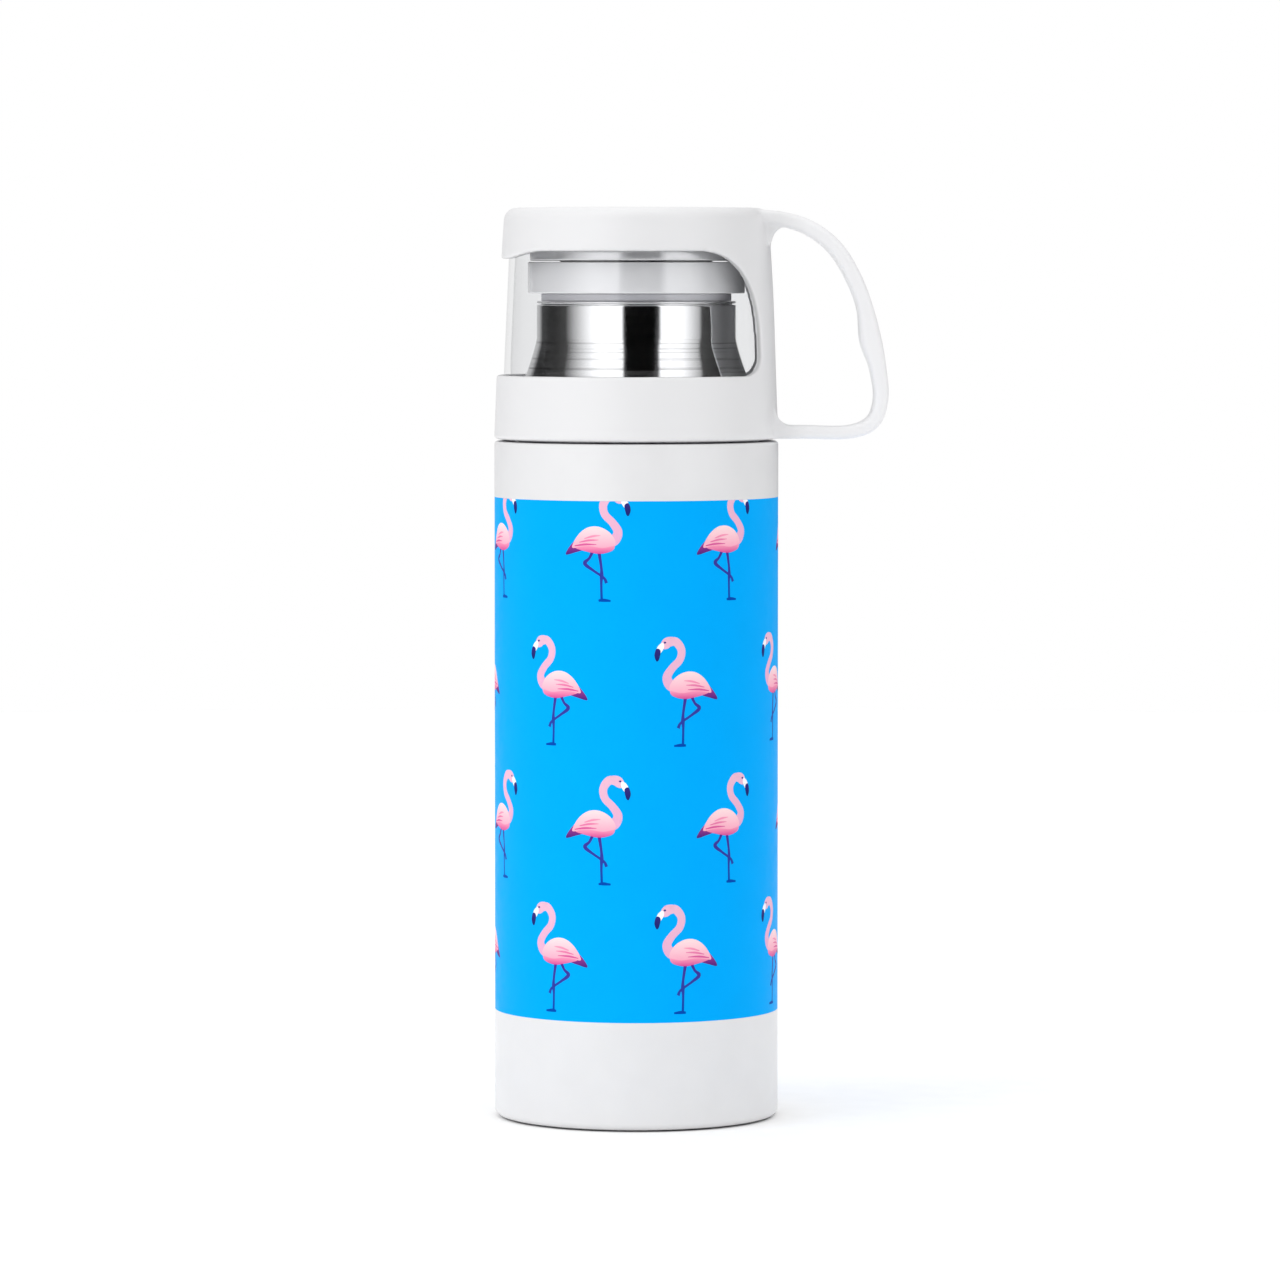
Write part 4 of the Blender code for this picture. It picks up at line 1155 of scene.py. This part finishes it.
def choose(tree, factor, first, second):
    """The first brightness where the factor is 0 and the second where it is 1."""
    node = tree.nodes.new("ShaderNodeMix")
    tree.links.new(factor, node.inputs["Factor"])
    tree.links.new(first, node.inputs["A"])
    if isinstance(second, bpy.types.NodeSocket):
        tree.links.new(second, node.inputs["B"])
    else:
        node.inputs["B"].default_value = second
    return node.outputs["Result"]


def add_world():
    """White surroundings, with soft panels and darker gaps for what gloss mirrors."""
    world = bpy.data.worlds.new("studio")
    bpy.context.scene.world = world
    world.use_nodes = True
    tree = world.node_tree
    background = tree.nodes["Background"]
    background.inputs["Color"].default_value = (1.0, 1.0, 1.0, 1.0)
    direction = tree.nodes.new("ShaderNodeTexCoord")
    separate = tree.nodes.new("ShaderNodeSeparateXYZ")
    tree.links.new(direction.outputs["Generated"], separate.inputs["Vector"])
    x, y, z = (separate.outputs[axis] for axis in "XYZ")
    sky = map_range(tree, z, (0.0, 1.0), (SKY_LEVEL, SKY_LEVEL + SKY_RISE))
    path = tree.nodes.new("ShaderNodeLightPath")
    seen = choose(tree, path.outputs["Is Camera Ray"], sky, 1.0)
    mirrored = choose(tree, path.outputs["Is Glossy Ray"], seen, studio_light(tree, x, y))
    tree.links.new(mirrored, background.inputs["Strength"])


def add_camera():
    """Long lens a little above the mug's window, looking slightly down at the middle."""
    camera = bpy.data.objects.new("camera", bpy.data.cameras.new("camera"))
    camera.data.lens = CAMERA_LENS
    camera.data.sensor_width = 36.0
    camera.location = CAMERA_PLACE
    camera.rotation_euler = (CAMERA_AIM - CAMERA_PLACE).to_track_quat("-Z", "Y").to_euler()
    camera.data.clip_start = 0.05
    bpy.context.scene.collection.objects.link(camera)
    bpy.context.scene.camera = camera


add_camera()
show_shell()
show_wrap()
show_neck()
show_vessel()
show_base_pad()
show_cup_frame()
show_insert()
show_ring("mug_gasket", "cup_gasket", "cup_carrier", MUG_GASKET_BORE)
show_ring("lip_gasket", "stopper_gasket", "stopper_carrier", PLUG_R + GAP, 0.2, LIP_GASKET_GROW)
show_ring("lower_seal", "neck_seal", "stopper", SEAL_GROOVE_R + GAP, 0.9)
show_stopper_body()
show_stopper_cover()
show_button()
show_spring()
show_print()
finish_cad_nodes()
add_floor()
add_key_light()
add_world()
bpy.context.scene.view_settings.view_transform = "Standard"
